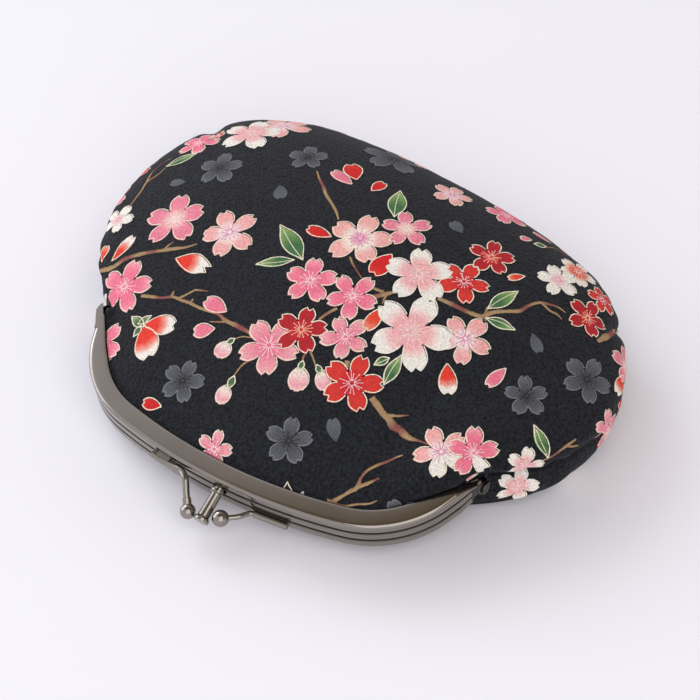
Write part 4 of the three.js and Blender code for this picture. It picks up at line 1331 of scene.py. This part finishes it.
def draw_blossom(cloth_print, spot, ink, level, pale_petals=()):
    """Five notched petals about the spot, each a little unlike the next, and a ring of stamens."""
    lift = print_lift + level * level_lift
    for number in range(5):
        turn = 2 * np.pi * number / 5 + luck.normal(0, 0.03)
        spin = np.array([[np.cos(turn), np.sin(turn)], [-np.sin(turn), np.cos(turn)]])
        half = petal_half * [luck.uniform(0.96, 1.05), luck.uniform(0.92, 1.06)]
        stops = inks["ivory"].stops[2:] if number in pale_petals else ink.stops
        petal = Turned(spot, spin)
        cloth_print.outlined(
            petal, half,
            lambda points, shares: tinted(stops, np.hypot(*points.T)),
            ink, lift + petal_lift * number, from_share=0.42,
        )
    if ink.stamen:
        for turn in np.linspace(0, 2 * np.pi, 14, endpoint=False) + luck.normal(0, 0.08, 14):
            reach = luck.uniform(0.3, 0.5) * spot.size
            way = np.array([np.cos(turn), np.sin(turn)])
            thread = np.array([way * 0.08 * spot.size, way * reach * 0.6, way * reach])
            cloth_print.stroke(spot, thread, stamen_widths, linear(ink.stamen)[:3], lift + stamen_lift)
            angles = np.linspace(0, 2 * np.pi, 6, endpoint=False)
            dot = way * reach + anther_radius * np.stack([np.cos(angles), np.sin(angles)], axis=1)
            cloth_print.add(
                *spot.at, spot.spread(dot) + line_shift, linear(ink.stamen)[:3],
                lift + stamen_lift + petal_lift,
                [(0, 1, 2, 3), (0, 3, 4, 5)],
            )


class Turned:
    """A spot with its axis turned, for one petal of a blossom."""

    def __init__(self, spot, spin):
        self.at, self.size, self.spot, self.spin = spot.at, spot.size, spot, spin

    def spread(self, points):
        return self.spot.spread(points @ self.spin)


def draw_loose(cloth_print, spot, row):
    """A loose petal, leaf, bud or calyx: its ink shaded from its base to its tip."""
    ink = inks[row.ink]
    lift = print_lift + row.level * level_lift
    halves = {"leaf": leaf_half, "dark leaf": leaf_half, "calyx": leaf_half, "bud": bud_half}
    half = halves.get(row.ink, loose_half) * [1, row.width]
    cloth_print.outlined(
        spot, half, lambda points, shares: tinted(ink.stops, points[:, 0] + 0.1 * (shares - 0.5)), ink, lift
    )
    if row.ink == "leaf":
        rib = np.stack([np.linspace(0.02, 0.85, 9), 0.03 * np.sin(np.linspace(0, 3, 9))], axis=1)
        cloth_print.stroke(spot, rib * spot.size, rib_width, linear(CREAM)[:3], lift + 3 * line_lift)


def draw_twig(cloth_print, u, v, widths):
    """A twig: a strip along a smooth line over the cloth, tan with reddish stretches."""
    face = cloth_print.face
    if face < 0:
        u = 1 - u
    knots = panel_form(face, u, v)
    run = np.concatenate([[0], np.cumsum(np.linalg.norm(np.diff(knots, axis=0), axis=1))])
    # u, v and width are scaled to numbers of about a millimetre, for even spans between the knots
    scale = np.array([300, 100, 3, 1])
    path = smooth_path(np.stack([u, v, widths, run], axis=1) * scale, 8) / scale
    u, v = np.clip(path[:, :2].T, 0, 1)
    widths, run = path[:, 2:].T
    points = panel_form(face, u, v)
    way = np.gradient(points, axis=0)
    side = np.cross(cloth_axes(face, u, v)[2], way)
    side /= np.maximum(np.linalg.norm(side, axis=1), 1e-9)[:, None]
    widths = widths * luck.uniform(0.85, 1.15, len(widths))
    reddish = 0.5 + 0.5 * np.sin(run / 2.1 + luck.uniform(0, 6)) * np.sin(run / 4.7)
    colour = twig_tan + (twig_red - twig_tan) * smooth_step(reddish, 0.45, 0.9)[:, None]
    shares = np.array([-0.5, -0.2, 0.2, 0.5])
    darker = np.array([0.75, 1.1, 1.0, 0.6])
    offset = side[:, None] * shares[:, None] * widths[:, None, None]
    tints = colour[:, None] * darker[:, None]
    cloth_print.add(
        np.repeat(u, 4), np.repeat(v, 4), offset.reshape(-1, 3), tints.reshape(-1, 3),
        print_lift + 0.6 * level_lift, grid_faces(len(u), 4),
    )


printed = Finish("print_ink")
ink_colour = printed.node("ShaderNodeAttribute", {"attribute_name": "ink"})
ink_grain = printed.noise(0.75, 3, 0.6)
mottle = {"Value": printed.noise(0.5, 3, 0.6), "From Min": 0.36, "From Max": 0.64}
ink_mottle = printed.node("ShaderNodeMapRange", sockets=mottle)
worn_ink = printed.node(
    "ShaderNodeMix", {"data_type": "RGBA", "blend_type": "MULTIPLY"},
    {0: 0.5, 6: ink_colour, 7: printed.mixed(ink_mottle, linear("aaaaaa"), linear("ffffff"))}, output=2,
)
printed.look(
    Base_Color=worn_ink,
    Roughness=0.8,
    Specular_IOR_Level=0.3,
    Normal=printed.bump(ink_grain, 0.4, 0.1),
)

charted = [*blossoms, *loose_pieces]
start_u, start_v = cloth_under([(row.x, row.y) for row in charted])
tip_u, tip_v = cloth_under([(row.tip_x, row.tip_y) for row in charted])
across_way, up_way, _ = cloth_axes(1, start_u, start_v)
start = panel_form(1, start_u, start_v)

# a start that the lip hides: what is left to its pixel, solved in millimetres across and up
missed = np.array([(row.x, row.y) for row in charted]) - project(start)
pixel_ways = np.stack([project(start + way) - project(start) for way in (across_way, up_way)], axis=-1)
beyond = np.linalg.solve(pixel_ways, missed[..., None])[..., 0]
beyond *= (start_v < 0.01)[:, None]
start = start + beyond[:, :1] * across_way + beyond[:, 1:] * up_way
reach_over = panel_form(1, tip_u, tip_v) - start
across_share, up_share = (reach_over * across_way).sum(axis=1), (reach_over * up_way).sum(axis=1)
sizes = np.linalg.norm(reach_over, axis=1)
flat_length = np.hypot(across_share, up_share)
twig_spots = [
    (*cloth_under([(knot.x, knot.y) for knot in twig]), np.array([knot.width for knot in twig]))
    for twig in twigs
]

# the back panel repeats the chart as seen from behind, but for the share of it at its right hinge
gusset_share = 0.1
for name, face in (("front", 1), ("back", -1)):
    sheet_print = Print(face)
    for u, v, widths in twig_spots:
        if face > 0 or u.min() > gusset_share:
            draw_twig(sheet_print, u, v, widths)
    for row in unseen_blossoms:
        if face not in row.faces:
            continue
        angle = np.radians(row.turn)
        spot = Spot(face, row.u, row.v, np.cos(angle), np.sin(angle), row.size)
        draw_blossom(sheet_print, spot, inks[row.ink], 1)
    for i, row in enumerate(charted):
        if face < 0 and start_u[i] < gusset_share:
            continue
        spot = Spot(face, start_u[i], start_v[i], across_share[i] / flat_length[i],
                    up_share[i] / flat_length[i], sizes[i], beyond[i])
        if isinstance(row, Blossom):
            draw_blossom(sheet_print, spot, inks[row.ink], row.level, row.pale_petals)
        else:
            draw_loose(sheet_print, spot, row)
    piece = sheet_print.mesh(f"{name}_panel_print")
    piece.data.materials.append(printed.material)
    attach(piece, "root")


# The divider: one plain dark cloth that hangs from the middle jaw and parts the two compartments.
divider_cloth = 1
divider_setback = 15
divider_reach = 0.93
divider_taper = 0.9

lining = Finish("divider_cloth")
weave = lining.noise(0.6, 3, 0.6)
lining.look(
    Base_Color=lining.mixed(weave, linear("17181b"), linear("26272b")),
    Roughness=0.9,
    Normal=lining.bump(weave, 0.4, 0.1),
)

first = divider_setback / (2 * edge_length)
share = np.linspace(first, 1 - first, 120)
way = np.concatenate([[0], np.linspace(0, 1, 16)])
near = np.minimum(share, 1 - share)
x, y, in_x, in_y = frame_edge((2 * share - 1) * (edge_length - ear_start - clearance))
grip = sheet + clearance
held = from_frame(x + in_x * grip, y + in_y * grip, 0)
inset = lip_at((2 * share - 1) * (edge_length - ear_start)) + tuck
start = from_frame(x + in_x * inset, y + in_y * inset, 0)
end = np.stack([np.interp(share, seam_share, seam_x), np.interp(share, seam_share, seam_y)], axis=-1)
_, _, in_x, in_y = frame_edge((2 * share - 1) * (edge_length - ear_start))
sweep = mouth_sweep * np.linalg.norm(end - start[:, :2], axis=1)
control = np.stack(
    [start[:, 0] + in_x * sweep, start[:, 1] + in_y * sweep + hinge_detour * np.exp(-near / detour_fade)],
    axis=-1,
)
hanging = divider_reach * (1 - divider_taper * np.exp(-near / rise_fade))
q = (np.linspace(0, 1, 16)[None] * hanging[:, None])[..., None]
flat = (1 - q) ** 2 * start[:, None, :2] + 2 * q * (1 - q) * control[:, None] + q * q * end[:, None]
level = start[:, None, 2:] + (seam_height - hinge_rise - start[:, None, 2:]) * q
middle = np.concatenate([held[:, None], np.concatenate([flat, level], axis=-1)], axis=1)
half = np.array([0, 0, divider_cloth / 2])
divider = Shell()
divider.loft(np.concatenate([middle + half, (middle - half)[:, ::-1]], axis=1), turned=True)
dress(divider.mesh("divider_sheet", 60), lining, "divider_cloth", "divider")


# The studio: a pale floor under the purse and three soft lamps, two of them windows on its
# left. None of it is part of the purse.
half_floor = 1.5
floor_data = bpy.data.meshes.new("floor")
floor_data.from_pydata(
    [(-half_floor, -half_floor, 0), (half_floor, -half_floor, 0), (half_floor, half_floor, 0),
     (-half_floor, half_floor, 0)],
    [], [(0, 1, 2, 3)],
)
floor = bpy.data.objects.new("floor", floor_data)
bpy.context.scene.collection.objects.link(floor)
paper = Finish("paper")
paper.look(Base_Color=linear("f4f3f6"), Roughness=0.6)
floor_data.materials.append(paper.material)

# a bright ring of walls and windows, bright up to a greater height on the left, under a dim
# ceiling, with one dark patch high up on the camera's side
room = Finish("room", "worlds", "Background")
way = room.node("ShaderNodeTexCoord")
leftward, upward = (room.node("ShaderNodeSeparateXYZ", sockets={0: way}, output=i) for i in (0, 2))
ceiling = room.node(
    "ShaderNodeMapRange", {"interpolation_type": "SMOOTHSTEP"},
    {"Value": upward + 0.42 * leftward, "From Min": 0.58, "From Max": 0.84},
)
patch = room.node(
    "ShaderNodeVectorMath", {"operation": "DOT_PRODUCT"}, {0: way, 1: (0.366, -0.521, 0.771)}, output=1,
)
shade = room.node(
    "ShaderNodeMapRange", {"interpolation_type": "SMOOTHSTEP"},
    {"Value": patch, "From Min": 0.86, "From Max": 0.95},
)
walls = room.mixed(ceiling, linear("f3f2fb"), linear("8b7d69"))
room.look(Color=room.mixed(shade, walls, linear("1d1b19")), Strength=0.97)
bpy.context.scene.world = room.material
bpy.context.scene.view_settings.view_transform = "Standard"

# place and size in metres, power in watts
Lamp = namedtuple("Lamp", "name place size power colour")
lamps = [
    Lamp("window", (-1.15, 0.42, 0.86), 0.7, 5.5, "eef2ff"),
    Lamp("side_window", (-1.4, -0.3, 0.5), 1.1, 7.0, "f2f4ff"),
    Lamp("fill", (0.75, -0.75, 1.1), 1.6, 14.5, "fbfaff"),
]
for lamp in lamps:
    light = bpy.data.lights.new(lamp.name, "AREA")
    light.size, light.energy = lamp.size, lamp.power
    light.color = linear(lamp.colour)[:3]
    holder = bpy.data.objects.new(lamp.name, light)
    bpy.context.scene.collection.objects.link(holder)
    holder.location = lamp.place
    holder.rotation_mode = "QUATERNION"
    holder.rotation_quaternion = (-Vector(lamp.place)).to_track_quat("-Z", "Y")
